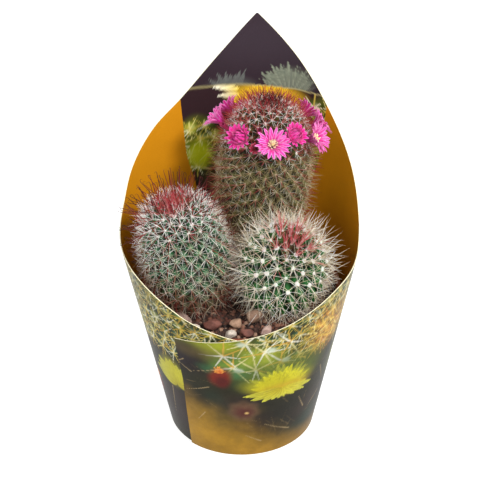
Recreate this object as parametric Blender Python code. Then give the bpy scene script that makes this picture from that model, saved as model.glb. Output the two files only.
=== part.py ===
"""Three potted round cacti in a printed card sleeve.

A plastic nursery pot holds potting soil, a layer of grit and loose stones, and three
Mammillaria-like cacti: two round ones in front, and a taller one behind them that carries
a ring of flowers. A conical card sleeve, low in front and pointed behind, stands round the pot.

Metres, +Z up. The origin is on the pot's axis, at the level that the pot and sleeve stand on.
The front is -Y. Angles round the pot start at the front and run towards +X.
"""

import math

import bmesh
import bpy
import numpy as np
from mathutils import Matrix, Quaternion, Vector, noise

MM = 0.001
GAP = 0.35 * MM  # clearance between pieces that touch
GOLDEN_ANGLE = math.pi * (3 - math.sqrt(5))

# The pot.
POT_HEIGHT = 82.0 * MM
POT_FOOT_RADIUS = 36.5 * MM
POT_TOP_RADIUS = 50.8 * MM
POT_WALL = 1.2 * MM
POT_LIP_REACH = 1.7 * MM  # how far the lip stands out from the wall
POT_LIP_HEIGHT = 5.0 * MM
POT_FLOOR = 1.2 * MM
DRAIN_HOLES = 6
DRAIN_RADIUS = 2.8 * MM
DRAIN_CIRCLE = 21.0 * MM
DRAIN_CHANNEL_RAISE = 3.0 * MM  # the holes open into a round channel under the floor
DRAIN_CHANNEL_WIDTH = 9.0 * MM
ROUND_STEPS = 64

# What fills the pot.
SOIL_BELOW_RIM = 9.5 * MM
GRIT_DEPTH = 6.0 * MM
SOIL_TOP = POT_HEIGHT - SOIL_BELOW_RIM
GRIT_TOP = SOIL_TOP + GAP + GRIT_DEPTH

# The sleeve: one sheet of card, rolled into a cone that clears the pot's foot and lip.
SLEEVE_FOOT_EASE = 2.5 * MM
SLEEVE_LIP_EASE = 3.06 * MM
SLEEVE_FOOT_RADIUS = POT_FOOT_RADIUS + SLEEVE_FOOT_EASE
SLEEVE_RIM_RADIUS = POT_TOP_RADIUS + POT_LIP_REACH + SLEEVE_LIP_EASE
SLEEVE_FLARE = (SLEEVE_RIM_RADIUS - SLEEVE_FOOT_RADIUS) / POT_HEIGHT
CARD = 0.5 * MM
SEAM_ANGLE = math.radians(-38)  # where the outer end of the sheet lies
SHEET_TURN = math.radians(402)  # more than one turn: the rest is the overlap
TUCK_START = math.radians(300)  # the inner end dives under the outer one from here
TUCK_END = math.radians(350)
LAP_GAP = 0.4 * MM
SLEEVE_COLUMNS = 102
PEAK_TURN = 211  # degrees along the sheet from the seam to the pointed top
# Height of the sheet's top edge above the pot's rim, in millimetres, by degrees along the
# sheet from the seam.
TOP_EDGE = (
    (0, -3.6), (30, 1.8), (47, 5.6), (62, 9.6), (76, 14.5), (90, 19.3), (112, 22.8), (126, 26.4),
    (138, 34.5), (157, 54.0), (176, 75.3), (195, 100.0), (PEAK_TURN, 119.5), (225, 99.3),
    (243, 78.0), (260, 65.0), (277, 49.5), (288, 37.8), (303, 29.6), (325, 25.8), (345, 21.2),
    (359, 16.0), (370, 11.0), (385, 5.8), (402, 0.6),
)

# Plants, flowers and stones are sized in millimetres for a pot whose inside has this radius at
# the grit, and follow the pot's real one.
GROUP_FOR_RADIUS = 48.6 * MM

# The cacti. Each has its foot's place, with its height above the soil, the way its axis leans,
# its height and widest radius. belly is the share of the height at which it is widest. Shapes
# are superellipses: 2 is round, and more is squarer. The tall one leans as the sleeve flares.
CACTI = {
    "cactus_front_right": dict(
        foot=(17.6, -6.0, 8.3), lean=(0.17, -0.50, 1.0), height=47.0, radius=20.2,
        belly=0.50, crown=2.1, base=2.2, tubercles=180, tubercle=2.4, flesh=(0.035, 0.14, 0.045),
    ),
    "cactus_front_left": dict(
        foot=(-20.9, -9.0, 2.9), lean=(-0.21, -0.07, 1.0), height=63.5, radius=20.6,
        belly=0.52, crown=2.5, base=2.3, tubercles=330, tubercle=1.8, flesh=(0.06, 0.17, 0.10),
    ),
    "cactus_tall": dict(
        foot=(7.2, 25.7, 2.9), lean=(0.45 * SLEEVE_FLARE, 0.35 * SLEEVE_FLARE, 1.0), height=95.5, radius=21.9,
        belly=0.62, crown=2.6, base=2.5, tubercles=440, tubercle=1.7, flesh=(0.10, 0.14, 0.05),
    ),
}

# The flower ring of the tall cactus: degrees round its axis, share of its height, degrees that
# the flower rises from level, how open it is from 0 to 1, and its length in millimetres.
FLOWERS = (
    (-98, 0.845, 34, 0.85, 9.2), (-127, 0.855, 36, 0.80, 8.8), (-155, 0.815, 24, 0.70, 8.5),
    (-37, 0.860, 32, 0.60, 9.0), (3, 0.850, 34, 1.00, 9.5), (31, 0.885, 42, 0.55, 8.8),
    (62, 0.850, 28, 0.95, 9.2), (100, 0.855, 34, 0.90, 9.0), (131, 0.860, 36, 0.80, 8.8),
    (161, 0.815, 24, 0.75, 8.5), (-176, 0.785, 18, 0.65, 8.5),
)
BUDS = ((-15, 0.905, 54, 0.0, 5.0), (-72, 0.860, 40, 0.0, 6.0), (146, 0.780, 15, 0.0, 5.5))
SPENT = (-16, 0.835, 20, 0.25, 5.0)
PETALS = 8
FLOWER_TUBE = 1.1  # radius at the foot
FLOWER_THROAT = 1.9

# Loose stones on the grit: distance from the pot's axis and degrees round it, the size, and
# the degrees that the long side is turned from running round the pot.
STONES = (
    (38.5, -21, 8.4, 6.4, 5.6, 20), (30.5, 14, 9.6, 7.0, 6.4, -15), (42.0, -44, 10.0, 5.2, 4.2, 5),
    (44.0, -7, 5.6, 5.0, 4.2, 40), (43.0, 4, 5.8, 4.6, 4.4, 0), (36.0, -5, 6.4, 5.6, 5.0, 60),
    (44.0, 17, 6.2, 5.0, 4.6, 10), (45.5, -31, 4.8, 4.4, 4.0, 0), (45.0, -57, 6.6, 4.4, 4.4, 0),
    (45.0, 58, 6.4, 4.6, 4.6, 0), (44.0, 95, 7.4, 5.6, 5.0, 15), (42.0, -100, 7.6, 6.2, 5.0, 30),
    (38.0, -128, 8.4, 6.6, 5.4, 50), (44.0, -150, 6.2, 5.2, 4.6, 0), (43.0, 120, 7.0, 5.4, 4.8, 20),
)
STONE_COLOURS = ((0.30, 0.09, 0.07), (0.50, 0.33, 0.23), (0.42, 0.33, 0.29), (0.62, 0.57, 0.50))


def clear_scene():
    for old in list(bpy.data.objects):
        bpy.data.objects.remove(old)


def material(name, colour, roughness, metallic=0.0):
    found = bpy.data.materials.new(name)
    found.use_nodes = True
    shader = found.node_tree.nodes["Principled BSDF"]
    shader.inputs["Base Color"].default_value = (*colour, 1.0)
    shader.inputs["Roughness"].default_value = roughness
    shader.inputs["Metallic"].default_value = metallic
    return found


def new_object(name, points, faces, finish, smooth_angle=None):
    """A node from points and faces, with its normals facing out."""
    mesh = bpy.data.meshes.new(name)
    mesh.from_pydata([tuple(p) for p in points], [], faces)
    work = bmesh.new()
    work.from_mesh(mesh)
    bmesh.ops.recalc_face_normals(work, faces=work.faces)
    work.to_mesh(mesh)
    work.free()
    if smooth_angle is not None:
        mesh.shade_smooth()
        mesh.set_sharp_from_angle(angle=math.radians(smooth_angle))
    mesh.materials.append(finish)
    made = bpy.data.objects.new(name, mesh)
    bpy.context.scene.collection.objects.link(made)
    return made


def around(radius, angle, height):
    """A point at an angle round the pot, from the front towards +X."""
    return Vector((radius * math.sin(angle), -radius * math.cos(angle), height))


def turned(name, profile, finish, steps=ROUND_STEPS):
    """A solid of revolution. The profile is a closed loop of (radius, height) when it starts
    clear of the axis. When it starts on the axis it ends there too, and both ends are flat."""
    closed = profile[0][0] > 0
    rows = profile if closed else profile[1:-1]
    points = [around(radius, 2 * math.pi * k / steps, height) for radius, height in rows for k in range(steps)]
    rings = [range(steps * row, steps * (row + 1)) for row in range(len(rows))]
    faces = [] if closed else [tuple(rings[0]), tuple(rings[-1])]
    for low, high in zip(rings, rings[1:] + rings[:1] if closed else rings[1:]):
        for k in range(steps):
            after = (k + 1) % steps
            faces.append((low[k], low[after], high[after], high[k]))
    return new_object(name, points, faces, finish, smooth_angle=35)


def cut(target, cutter, name):
    """Takes the cutter, which stays hidden, out of the target."""
    cutter.hide_render = True
    cutter.display_type = "WIRE"
    step = target.modifiers.new(name, "BOOLEAN")
    step.operation = "DIFFERENCE"
    step.object = cutter


# ---------------------------------------------------------------- sleeve


def top_edge(turn):
    """Height of the sheet's top edge at a turn along the sheet, in radians. A cubic through
    the named points, with a corner at the peak."""
    turns = np.radians([turn for turn, _ in TOP_EDGE])
    heights = POT_HEIGHT + np.array([rise for _, rise in TOP_EDGE]) * MM
    slopes = np.gradient(heights, turns)
    index = min(max(int(np.searchsorted(turns, turn)) - 1, 0), len(turns) - 2)
    span = turns[index + 1] - turns[index]
    share = (turn - turns[index]) / span
    rise = (heights[index + 1] - heights[index]) / span
    start = rise if TOP_EDGE[index][0] == PEAK_TURN else slopes[index]
    end = rise if TOP_EDGE[index + 1][0] == PEAK_TURN else slopes[index + 1]
    keep = 2 * share**3 - 3 * share**2 + 1
    return (
        keep * heights[index] + (1 - keep) * heights[index + 1]
        + (share**3 - 2 * share**2 + share) * span * start + (share**3 - share**2) * span * end
    )


def tuck(turn):
    """How far inwards the sheet lies, so that its inner end passes behind the outer one."""
    share = min(max((turn - TUCK_START) / (TUCK_END - TUCK_START), 0), 1)
    return (CARD + LAP_GAP) * share * share * (3 - 2 * share)


def card_sleeve(finish):
    turns = sorted({*np.linspace(0, SHEET_TURN, SLEEVE_COLUMNS), math.radians(PEAK_TURN)})
    points, faces = [], []
    for turn in turns:
        angle = SEAM_ANGLE + turn
        for height in (0.0, top_edge(turn)):
            radius = SLEEVE_FOOT_RADIUS + SLEEVE_FLARE * height - tuck(turn)
            points += [around(radius, angle, height), around(radius - CARD, angle, height)]
    low_out, low_in, top_out, top_in = range(4)
    for k in range(len(turns) - 1):
        a, b = 4 * k, 4 * (k + 1)
        for first, second in ((low_out, top_out), (top_out, top_in), (top_in, low_in), (low_in, low_out)):
            faces.append((a + first, b + first, b + second, a + second))
    last = 4 * (len(turns) - 1)
    for end in (0, last):
        faces.append((end + low_out, end + top_out, end + top_in, end + low_in))
    return new_object("card_sleeve", points, faces, finish, smooth_angle=40)


# ---------------------------------------------------------------- pot, soil, grit


def pot_radius(height):
    """Outside radius of the pot's wall at a height."""
    return POT_FOOT_RADIUS + (POT_TOP_RADIUS - POT_FOOT_RADIUS) * height / POT_HEIGHT


def nursery_pot(finish):
    floor_top = DRAIN_CHANNEL_RAISE + POT_FLOOR
    lip_foot = POT_HEIGHT - POT_LIP_HEIGHT
    lip_radius = POT_TOP_RADIUS + POT_LIP_REACH
    channel_in = DRAIN_CIRCLE - DRAIN_CHANNEL_WIDTH / 2
    channel_out = DRAIN_CIRCLE + DRAIN_CHANNEL_WIDTH / 2
    profile = [
        (0, 0),
        (channel_in - DRAIN_CHANNEL_RAISE / 2, 0),
        (channel_in, DRAIN_CHANNEL_RAISE),
        (channel_out, DRAIN_CHANNEL_RAISE),
        (channel_out + DRAIN_CHANNEL_RAISE / 2, 0),
        (POT_FOOT_RADIUS, 0),
        (pot_radius(lip_foot), lip_foot),
        (lip_radius - 0.4 * MM, lip_foot),
        (lip_radius, POT_HEIGHT - POT_WALL),
        (lip_radius - 0.5 * MM, POT_HEIGHT),
        (POT_TOP_RADIUS - POT_WALL, POT_HEIGHT),
        (pot_radius(floor_top) - POT_WALL, floor_top),
        (0, floor_top),
    ]
    pot = turned("nursery_pot", profile, finish)
    for k in range(DRAIN_HOLES):
        bore = [(0, 0), (DRAIN_RADIUS, 0), (DRAIN_RADIUS, 2 * floor_top), (0, 2 * floor_top)]
        cutter = turned(f"cutter_drain_{k}", bore, finish, steps=16)
        cutter.location = around(DRAIN_CIRCLE, 2 * math.pi * k / DRAIN_HOLES, 0)
        cut(pot, cutter, f"drain_{k}")
    return pot


def fill_radius(height):
    """Radius of what fills the pot, just clear of its wall."""
    return pot_radius(height) - POT_WALL - GAP


def potting_soil(finish):
    bottom = DRAIN_CHANNEL_RAISE + POT_FLOOR + GAP
    profile = [(0, bottom), (fill_radius(bottom), bottom), (fill_radius(SOIL_TOP), SOIL_TOP), (0, SOIL_TOP)]
    return turned("potting_soil", profile, finish)


def grit_layer(finish, pockets):
    bottom = SOIL_TOP + GAP
    edge = GRIT_TOP - 1.0 * MM
    profile = [
        (0, bottom), (fill_radius(bottom), bottom), (fill_radius(edge), edge),
        (fill_radius(edge) - 4.0 * MM, GRIT_TOP), (0, GRIT_TOP),
    ]
    layer = turned("grit_layer", profile, finish)
    for pocket in pockets:
        cut(layer, pocket, pocket.name)
    return layer


# ---------------------------------------------------------------- cacti


UNIT = MM * fill_radius(GRIT_TOP) / GROUP_FOR_RADIUS  # a millimetre of the plants' own sizes


def outline(spec, steps=240, swell=0.0):
    """The body's half outline from crown to foot, as arrays of radius and height in metres.
    swell pushes it outwards all over."""
    radius, height = spec["radius"] * UNIT + swell, spec["height"] * UNIT + 2 * swell
    above, below = height * (1 - spec["belly"]), height * spec["belly"]
    angle = np.linspace(0, math.pi, steps)
    power = np.where(angle <= math.pi / 2, 2 / spec["crown"], 2 / spec["base"])
    side = np.sin(angle).clip(0, 1) ** power
    rise = np.abs(np.cos(angle)) ** power * np.where(angle <= math.pi / 2, above, -below)
    return radius * side, rise + below - swell


def frame_of(spec):
    """Places the body: its own Z runs along the lean, and it stands at its foot."""
    lean = Vector(spec["lean"]).normalized()
    turn = Vector((0, 0, 1)).rotation_difference(lean)
    foot = Vector(spec["foot"]) * UNIT + Vector((0, 0, SOIL_TOP))
    return Matrix.Translation(foot) @ turn.to_matrix().to_4x4()


def areole_sites(spec):
    """Where the tubercles stand: a golden-angle spiral with the same area for each. Gives the
    angle, radius, height and outward normal of each, and its place on a unit sphere that keeps
    the shape of small figures, which is used only to find its neighbours."""
    radius, height = outline(spec)
    step = np.hypot(np.diff(radius), np.diff(height))
    middle = (radius[1:] + radius[:-1]) / 2
    area = np.concatenate([[0], np.cumsum(step * middle)])
    mercator = np.concatenate([[0], np.cumsum(step / middle.clip(1e-6))])
    share = (np.arange(spec["tubercles"]) + 0.5) / spec["tubercles"] * area[-1]
    at = np.interp(share, area, np.arange(len(area)))
    rows = np.arange(len(area))
    r, z, q = (np.interp(at, rows, v) for v in (radius, height, mercator))
    slope_r, slope_z = (np.interp(at, rows, np.gradient(v)) for v in (radius, height))
    length = np.hypot(slope_r, slope_z)
    angle = np.arange(spec["tubercles"]) * GOLDEN_ANGLE
    around_axis = np.stack([np.sin(angle), -np.cos(angle)], axis=1)
    normal = np.column_stack([around_axis * (-slope_z / length)[:, None], slope_r / length])
    latitude = np.tanh(np.interp(area[-1] / 2, area, mercator) - q)
    ball = np.column_stack([around_axis * np.sqrt(1 - latitude**2)[:, None], latitude])
    return np.column_stack([around_axis * r[:, None], z]), normal, ball


def neighbour_triangles(ball):
    """Triangles between neighbouring sites: the convex hull of points on a sphere."""
    work = bmesh.new()
    verts = [work.verts.new(p) for p in ball]
    work.verts.index_update()
    bmesh.ops.convex_hull(work, input=verts)
    bmesh.ops.triangulate(work, faces=work.faces)
    found = [[v.index for v in face.verts] for face in work.faces]
    work.free()
    return found


def cactus_body(name, spec, finish):
    """One closed body: each tubercle is a pyramid on the cell round its site. The cells'
    corners are the middles of the neighbour triangles, down in the valleys."""
    place, normal, ball = areole_sites(spec)
    triangles = neighbour_triangles(ball)
    corners = [place[t].mean(axis=0) for t in triangles]
    tips = place + normal * spec["tubercle"] * UNIT
    cells = [[] for _ in tips]
    for corner, triangle in enumerate(triangles):
        for site in triangle:
            cells[site].append(corner)
    faces = []
    for site, cell in enumerate(cells):
        side = Vector(ball[site]).orthogonal().normalized()
        other = Vector(ball[site]).cross(side)
        middles = {c: Vector(ball[triangles[c]].mean(axis=0)) for c in cell}
        cell.sort(key=lambda c: math.atan2(middles[c].dot(other), middles[c].dot(side)))
        tip = len(corners) + site
        faces += [(a, b, tip) for a, b in zip(cell, cell[1:] + cell[:1])]
    body = new_object(name, [*corners, *tips], faces, finish)
    body.matrix_world = frame_of(spec)
    return body


def pocket_for(name, spec, finish):
    """A hidden cutter round a body's foot, clear of its tubercles."""
    radius, height = outline(spec, steps=33, swell=spec["tubercle"] * UNIT + GAP)
    radius[0] = radius[-1] = 0
    pocket = turned(f"cutter_{name}", list(zip(radius[::-1], height[::-1])), finish, steps=32)
    pocket.matrix_world = frame_of(spec)
    return pocket


# ---------------------------------------------------------------- flowers


def flower_frame(spec, degrees, share, rise):
    """A frame at the tips of the tubercles, its Z along the flower."""
    radius, height = outline(spec, swell=spec["tubercle"] * UNIT + GAP)
    level = share * spec["height"] * UNIT
    above = height > height[np.argmax(radius)]
    reach = np.interp(-level, -height[above], radius[above])
    angle = math.radians(degrees)
    direction = around(math.cos(math.radians(rise)), angle, math.sin(math.radians(rise)))
    turn = Vector((0, 0, 1)).rotation_difference(direction)
    local = Matrix.Translation(around(reach, angle, level)) @ turn.to_matrix().to_4x4()
    return frame_of(spec) @ local


def flower(name, spec, row, finish):
    """A funnel whose rim runs out into pointed petals. A bud's rim closes in."""
    degrees, share, rise, opening, length = row
    length = length * UNIT
    tip_radius = (0.18 + 0.52 * opening) * length
    notch_radius = 0.62 * tip_radius
    tip_height = length * (1.0 - 0.12 * opening)
    rings = [
        (FLOWER_TUBE * UNIT, FLOWER_TUBE * UNIT, 0.0, 0.0),
        (FLOWER_THROAT * UNIT, FLOWER_THROAT * UNIT, 0.38 * length, 0.38 * length),
        (tip_radius, notch_radius, tip_height, 0.86 * tip_height),
        (0.45 * notch_radius, 0.45 * notch_radius, 0.62 * length, 0.62 * length),
    ]
    count = 2 * PETALS
    points = []
    for tip, notch, tip_level, notch_level in rings:
        for k in range(count):
            radius, level = (tip, tip_level) if k % 2 == 0 else (notch, notch_level)
            points.append(around(radius, 2 * math.pi * k / count, level))
    faces = []
    for ring in range(len(rings) - 1):
        for k in range(count):
            a, b = ring * count + k, ring * count + (k + 1) % count
            faces.append((a, b, b + count, a + count))
    faces += [tuple(range(count)), tuple(range(len(points) - count, len(points)))]
    made = new_object(name, points, faces, finish)
    made.matrix_world = flower_frame(spec, degrees, share, rise)
    return made


# ---------------------------------------------------------------- stones


def stone(name, index, row, finish):
    distance, degrees, length, width, height, turn = row
    work = bmesh.new()
    bmesh.ops.create_icosphere(work, subdivisions=2, radius=0.5)
    for vert in work.verts:
        rough = noise.noise(vert.co * 3.1 + Vector((index * 7.3, index * 1.7, 0)))
        vert.co *= 1 + 0.22 * rough
    low = min(v.co.z for v in work.verts)
    for vert in work.verts:
        vert.co = Vector((vert.co.x * length, vert.co.y * width, (vert.co.z - low) * height)) * UNIT
    mesh = bpy.data.meshes.new(name)
    work.to_mesh(mesh)
    work.free()
    mesh.materials.append(finish)
    made = bpy.data.objects.new(name, mesh)
    bpy.context.scene.collection.objects.link(made)
    made.location = around(distance * UNIT, math.radians(degrees), GRIT_TOP + GAP)
    made.rotation_mode = "QUATERNION"
    made.rotation_quaternion = Quaternion((0, 0, 1), math.radians(degrees + turn))
    return made


def main():
    clear_scene()
    card_sleeve(material("printed_card", (0.62, 0.36, 0.03), 0.35))
    plastic = material("pot_plastic", (0.20, 0.055, 0.027), 0.45)
    nursery_pot(plastic)
    potting_soil(material("soil", (0.035, 0.02, 0.013), 0.95))
    pockets = []
    for name, spec in CACTI.items():
        flesh = material(f"{name}_flesh", spec["flesh"], 0.55)
        cactus_body(name, spec, flesh)
        pockets.append(pocket_for(name, spec, flesh))
    grit_layer(material("grit", (0.20, 0.14, 0.11), 0.9), pockets)
    tall = CACTI["cactus_tall"]
    petals = material("petals", (0.80, 0.03, 0.36), 0.5)
    for k, row in enumerate(FLOWERS, 1):
        flower(f"flower_{k:02d}", tall, row, petals)
    bud_skin = material("bud", (0.36, 0.02, 0.06), 0.55)
    for k, row in enumerate(BUDS, 1):
        flower(f"flower_bud_{k}", tall, row, bud_skin)
    flower("spent_flower", tall, SPENT, bud_skin)
    colours = [material(f"stone_{k}", c, 0.85) for k, c in enumerate(STONE_COLOURS)]
    for k, row in enumerate(STONES, 1):
        stone(f"stone_{k:02d}", k, row, colours[(k - 1) % len(colours)])


main()
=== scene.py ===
"""Looks of three potted cacti in a printed card sleeve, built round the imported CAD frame.

The sleeve, the plants, their flowers and the stones are fine meshes that replace the plain CAD
solids. The pot, the soil and the grit keep their CAD shape and get better materials, and loose
grains lie on the grit.
"""

import math

import bpy
import numpy as np
from mathutils import Matrix, Vector


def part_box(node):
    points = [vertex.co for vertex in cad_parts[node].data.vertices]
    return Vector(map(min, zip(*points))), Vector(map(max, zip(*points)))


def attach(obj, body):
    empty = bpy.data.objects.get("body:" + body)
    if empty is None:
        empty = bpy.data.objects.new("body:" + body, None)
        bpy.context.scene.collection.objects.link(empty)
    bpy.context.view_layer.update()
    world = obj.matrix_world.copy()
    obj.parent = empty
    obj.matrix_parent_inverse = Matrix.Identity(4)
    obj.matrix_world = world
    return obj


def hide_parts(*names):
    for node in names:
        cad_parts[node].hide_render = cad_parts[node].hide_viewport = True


MM = 0.001
GOLDEN_ANGLE = math.pi * (3 - math.sqrt(5))
UP = np.array([0, 0, 1.0])
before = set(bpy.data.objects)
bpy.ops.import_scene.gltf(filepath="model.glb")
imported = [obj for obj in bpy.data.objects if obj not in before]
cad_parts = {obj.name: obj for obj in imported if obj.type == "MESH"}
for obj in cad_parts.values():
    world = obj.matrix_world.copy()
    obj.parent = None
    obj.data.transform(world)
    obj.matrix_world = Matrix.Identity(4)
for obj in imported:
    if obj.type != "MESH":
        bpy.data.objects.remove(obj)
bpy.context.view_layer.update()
rng = np.random.default_rng(11)  # draws everything that is random in the print


# ---------------------------------------------------------------- helpers


def linear(colour):
    """Linear colour from a named sRGB colour of 0 to 255."""
    share = np.asarray(colour, float) / 255
    return np.where(share <= 0.04045, share / 12.92, ((share + 0.055) / 1.055) ** 2.4)


def smooth(low, high, value):
    share = np.clip((value - low) / (high - low), 0, 1)
    return share * share * (3 - 2 * share)


def unit(vectors):
    return vectors / np.linalg.norm(vectors, axis=-1, keepdims=True).clip(1e-12)


def pick(colours):
    return colours[rng.integers(len(colours))]


def round_body(angle):
    """Level directions at angles round a body; 0 faces the front."""
    return np.stack([np.sin(angle), -np.cos(angle), 0 * angle], axis=1)


def make_mesh(name, points, faces, materials, slots=None, uv=None, tint=None):
    """A smooth piece. faces is a list of index arrays, one for each number of corners. uv and
    tint are given by point, or uv by corner when it is as long as the corners."""
    mesh = bpy.data.meshes.new(name)
    corners = np.concatenate([f.ravel() for f in faces]).astype(np.int32)
    sizes = np.concatenate([np.full(len(f), f.shape[1]) for f in faces])
    mesh.vertices.add(len(points))
    mesh.vertices.foreach_set("co", np.asarray(points, np.float32).ravel())
    mesh.loops.add(len(corners))
    mesh.loops.foreach_set("vertex_index", corners)
    mesh.polygons.add(len(sizes))
    starts = np.concatenate([[0], np.cumsum(sizes)[:-1]])
    mesh.polygons.foreach_set("loop_start", starts.astype(np.int32))
    mesh.update(calc_edges=True)
    mesh.validate()
    mesh.shade_smooth()
    for material in materials:
        mesh.materials.append(material)
    if slots is not None:
        mesh.polygons.foreach_set("material_index", np.asarray(slots, np.int32))
    if uv is not None:
        by_corner = uv if len(uv) == len(corners) else uv[corners]
        for layer in ("surface", "OFBake"):
            mesh.uv_layers.new(name=layer).data.foreach_set("uv", by_corner.astype(np.float32).ravel())
    if tint is not None:
        layer = mesh.attributes.new("tint", "FLOAT_COLOR", "POINT")
        rgba = np.column_stack([tint, np.ones(len(tint))])
        layer.data.foreach_set("color", rgba.astype(np.float32).ravel())
    piece = bpy.data.objects.new(name, mesh)
    bpy.context.scene.collection.objects.link(piece)
    return piece


def grid_faces(rows, columns, wrap=False, flip=False):
    """Quads of a grid of points in row order, and each corner's place in the grid from 0 to 1.
    They face up where columns run to +X and rows to +Y, or down with flip."""
    i, j = np.meshgrid(np.arange(rows - 1), np.arange(columns if wrap else columns - 1), indexing="ij")
    i, j = i.ravel(), j.ravel()
    corner = [(i, j), (i, j + 1), (i + 1, j + 1), (i + 1, j)]
    quads = np.stack([a * columns + b % columns for a, b in corner], axis=1)
    across = columns if wrap else columns - 1
    uv = np.stack([np.stack([b / across, a / (rows - 1)], axis=-1) for a, b in corner], axis=1)
    if flip:
        quads, uv = quads[:, ::-1], uv[:, ::-1]
    return quads, uv.reshape(-1, 2)


class Shader:
    """A Principled material and the nodes that feed it."""

    def __init__(self, name, **values):
        self.material = bpy.data.materials.new(name)
        self.material.use_nodes = True
        self.tree = self.material.node_tree
        self.surface = self.tree.nodes["Principled BSDF"]
        self.set(self.surface, values)

    def set(self, node, values):
        for key, value in values.items():
            socket = node.inputs[int(key[1:])] if key[0] == "_" else node.inputs[key.replace("_", " ")]
            if isinstance(value, bpy.types.NodeSocket):
                self.tree.links.new(value, socket)
            elif hasattr(value, "__len__") and len(value) == 3 and len(socket.default_value) == 4:
                socket.default_value = (*value, 1)
            else:
                socket.default_value = value

    def add(self, kind, output=0, options=None, **values):
        node = self.tree.nodes.new("ShaderNode" + kind)
        for key, value in (options or {}).items():
            setattr(node, key, value)
        self.set(node, values)
        return node.outputs[output]

    def place(self):
        """Object coordinates, which are the fourth output of their node."""
        return self.add("TexCoord", 3)

    def noise(self, scale, detail=3.0, roughness=0.55):
        return self.add("TexNoise", Vector=self.place(), Scale=scale, Detail=detail, Roughness=roughness)

    def ramp(self, factor, *stops):
        node = self.tree.nodes.new("ShaderNodeValToRGB")
        for _ in range(len(stops) - 2):
            node.color_ramp.elements.new(0.5)
        for element, (place, colour) in zip(node.color_ramp.elements, stops):
            element.position = place
            element.color = (*colour, 1)
        self.tree.links.new(factor, node.inputs[0])
        return node.outputs[0]

    def mix(self, factor, first, second, blend="MIX"):
        node = self.tree.nodes.new("ShaderNodeMix")
        node.data_type = "RGBA"
        node.blend_type = blend
        self.set(node, {"_0": factor, "_6": first, "_7": second})
        return node.outputs[2]

    def speckled(self, colour, grain, dark, light, low=0.3, high=0.7, share=1.0):
        """The colour, darker where the grain is low and lighter where it is high."""
        speck = self.ramp(grain, (low, np.broadcast_to(dark, 3)), (high, np.broadcast_to(light, 3)))
        return self.mix(share, colour, speck, "MULTIPLY")

    def math(self, operation, *values):
        inputs = {f"_{k}": value for k, value in enumerate(values)}
        return self.add("Math", options={"operation": operation}, **inputs)

    def bump(self, height, strength, distance):
        normal = self.add("Bump", Height=height, Strength=strength, Distance=distance)
        self.set(self.surface, {"Normal": normal})

    def tint(self):
        return self.add("Attribute", options={"attribute_name": "tint"})

    def uv(self):
        return self.add("UVMap", options={"uv_map": "surface"})


def keep(piece, slot, *nodes):
    """The piece stands for these nodes and rides on the one body."""
    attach(piece, "root")
    if nodes:
        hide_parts(*nodes)


# ---------------------------------------------------------------- the sleeve's shape

POT_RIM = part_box("nursery_pot")[1][2] / MM
# The sleeve as in the CAD, in millimetres and degrees: radius at the foot, its growth with height,
# the card's thickness, the gap in the overlap, and the direction of the sheet's outer end. Turns
# run along the sheet from that end.
FOOT_RADIUS = 39.0
FLARE = 0.20195
CARD = 0.5
LAP_GAP = 0.4
SEAM = -38.0
SHEET_END = 402
PEAK_TURN = 211
SEAM_LEAN, LEAN_HEIGHT, LEAN_TURNS = 5.8, 49, 25  # the outer end swings out towards the foot
TUCK_FROM, TUCK_TO = 300, 350  # turns over which the inner end goes behind the outer one
BOW, BOW_TURN, BOW_SPREAD = 1.8, 287, 26  # the left wall bows outwards, in the visual model only
BOW_FROM, BOW_TO = 50, 110  # heights between which the bow grows
# turn and height above the pot's rim
TOP_EDGE = (
    (0, -3.6), (30, 1.8), (47, 5.6), (62, 9.6), (76, 14.5), (90, 19.3), (112, 22.8), (126, 26.4),
    (138, 34.5), (157, 54.0), (176, 75.3), (195, 100.0), (PEAK_TURN, 119.5), (225, 99.3),
    (243, 78.0), (260, 65.0), (277, 49.5), (288, 37.8), (303, 29.6), (325, 25.8), (345, 21.2),
    (359, 16.0), (370, 11.0), (385, 5.8), (SHEET_END, 0.6),
)


def top_edge(turn):
    """Height of the sheet's top edge in millimetres: a cubic through the named points, with a
    corner at the peak."""
    turns = np.array([t for t, _ in TOP_EDGE], float)
    heights = np.array([h for _, h in TOP_EDGE]) + POT_RIM
    slopes = np.gradient(heights, turns)
    k = np.clip(np.searchsorted(turns, turn) - 1, 0, len(turns) - 2)
    span = turns[k + 1] - turns[k]
    share = (turn - turns[k]) / span
    rise = (heights[k + 1] - heights[k]) / span
    start = np.where(turns[k] == PEAK_TURN, rise, slopes[k])
    end = np.where(turns[k + 1] == PEAK_TURN, rise, slopes[k + 1])
    stay = 2 * share**3 - 3 * share**2 + 1
    return (
        stay * heights[k] + (1 - stay) * heights[k + 1]
        + (share**3 - 2 * share**2 + share) * span * start + (share**3 - share**2) * span * end
    )


def sheet_points(turn, height, depth):
    """Points of the sheet, in metres, at a depth into the card from its outer face."""
    low = np.clip((LEAN_HEIGHT - height) / LEAN_HEIGHT, 0, 1)
    angle = np.radians(SEAM + turn - SEAM_LEAN * low * np.clip(1 - turn / LEAN_TURNS, 0, 1))
    bow = BOW * np.exp(-(((turn - BOW_TURN) / BOW_SPREAD) ** 2)) * smooth(BOW_FROM, BOW_TO, height)
    tuck = (CARD + LAP_GAP) * smooth(TUCK_FROM, TUCK_TO, turn)
    radius = FOOT_RADIUS + FLARE * height + bow - tuck - depth
    return np.stack([radius * np.sin(angle), -radius * np.cos(angle), height], axis=-1) * MM


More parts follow.
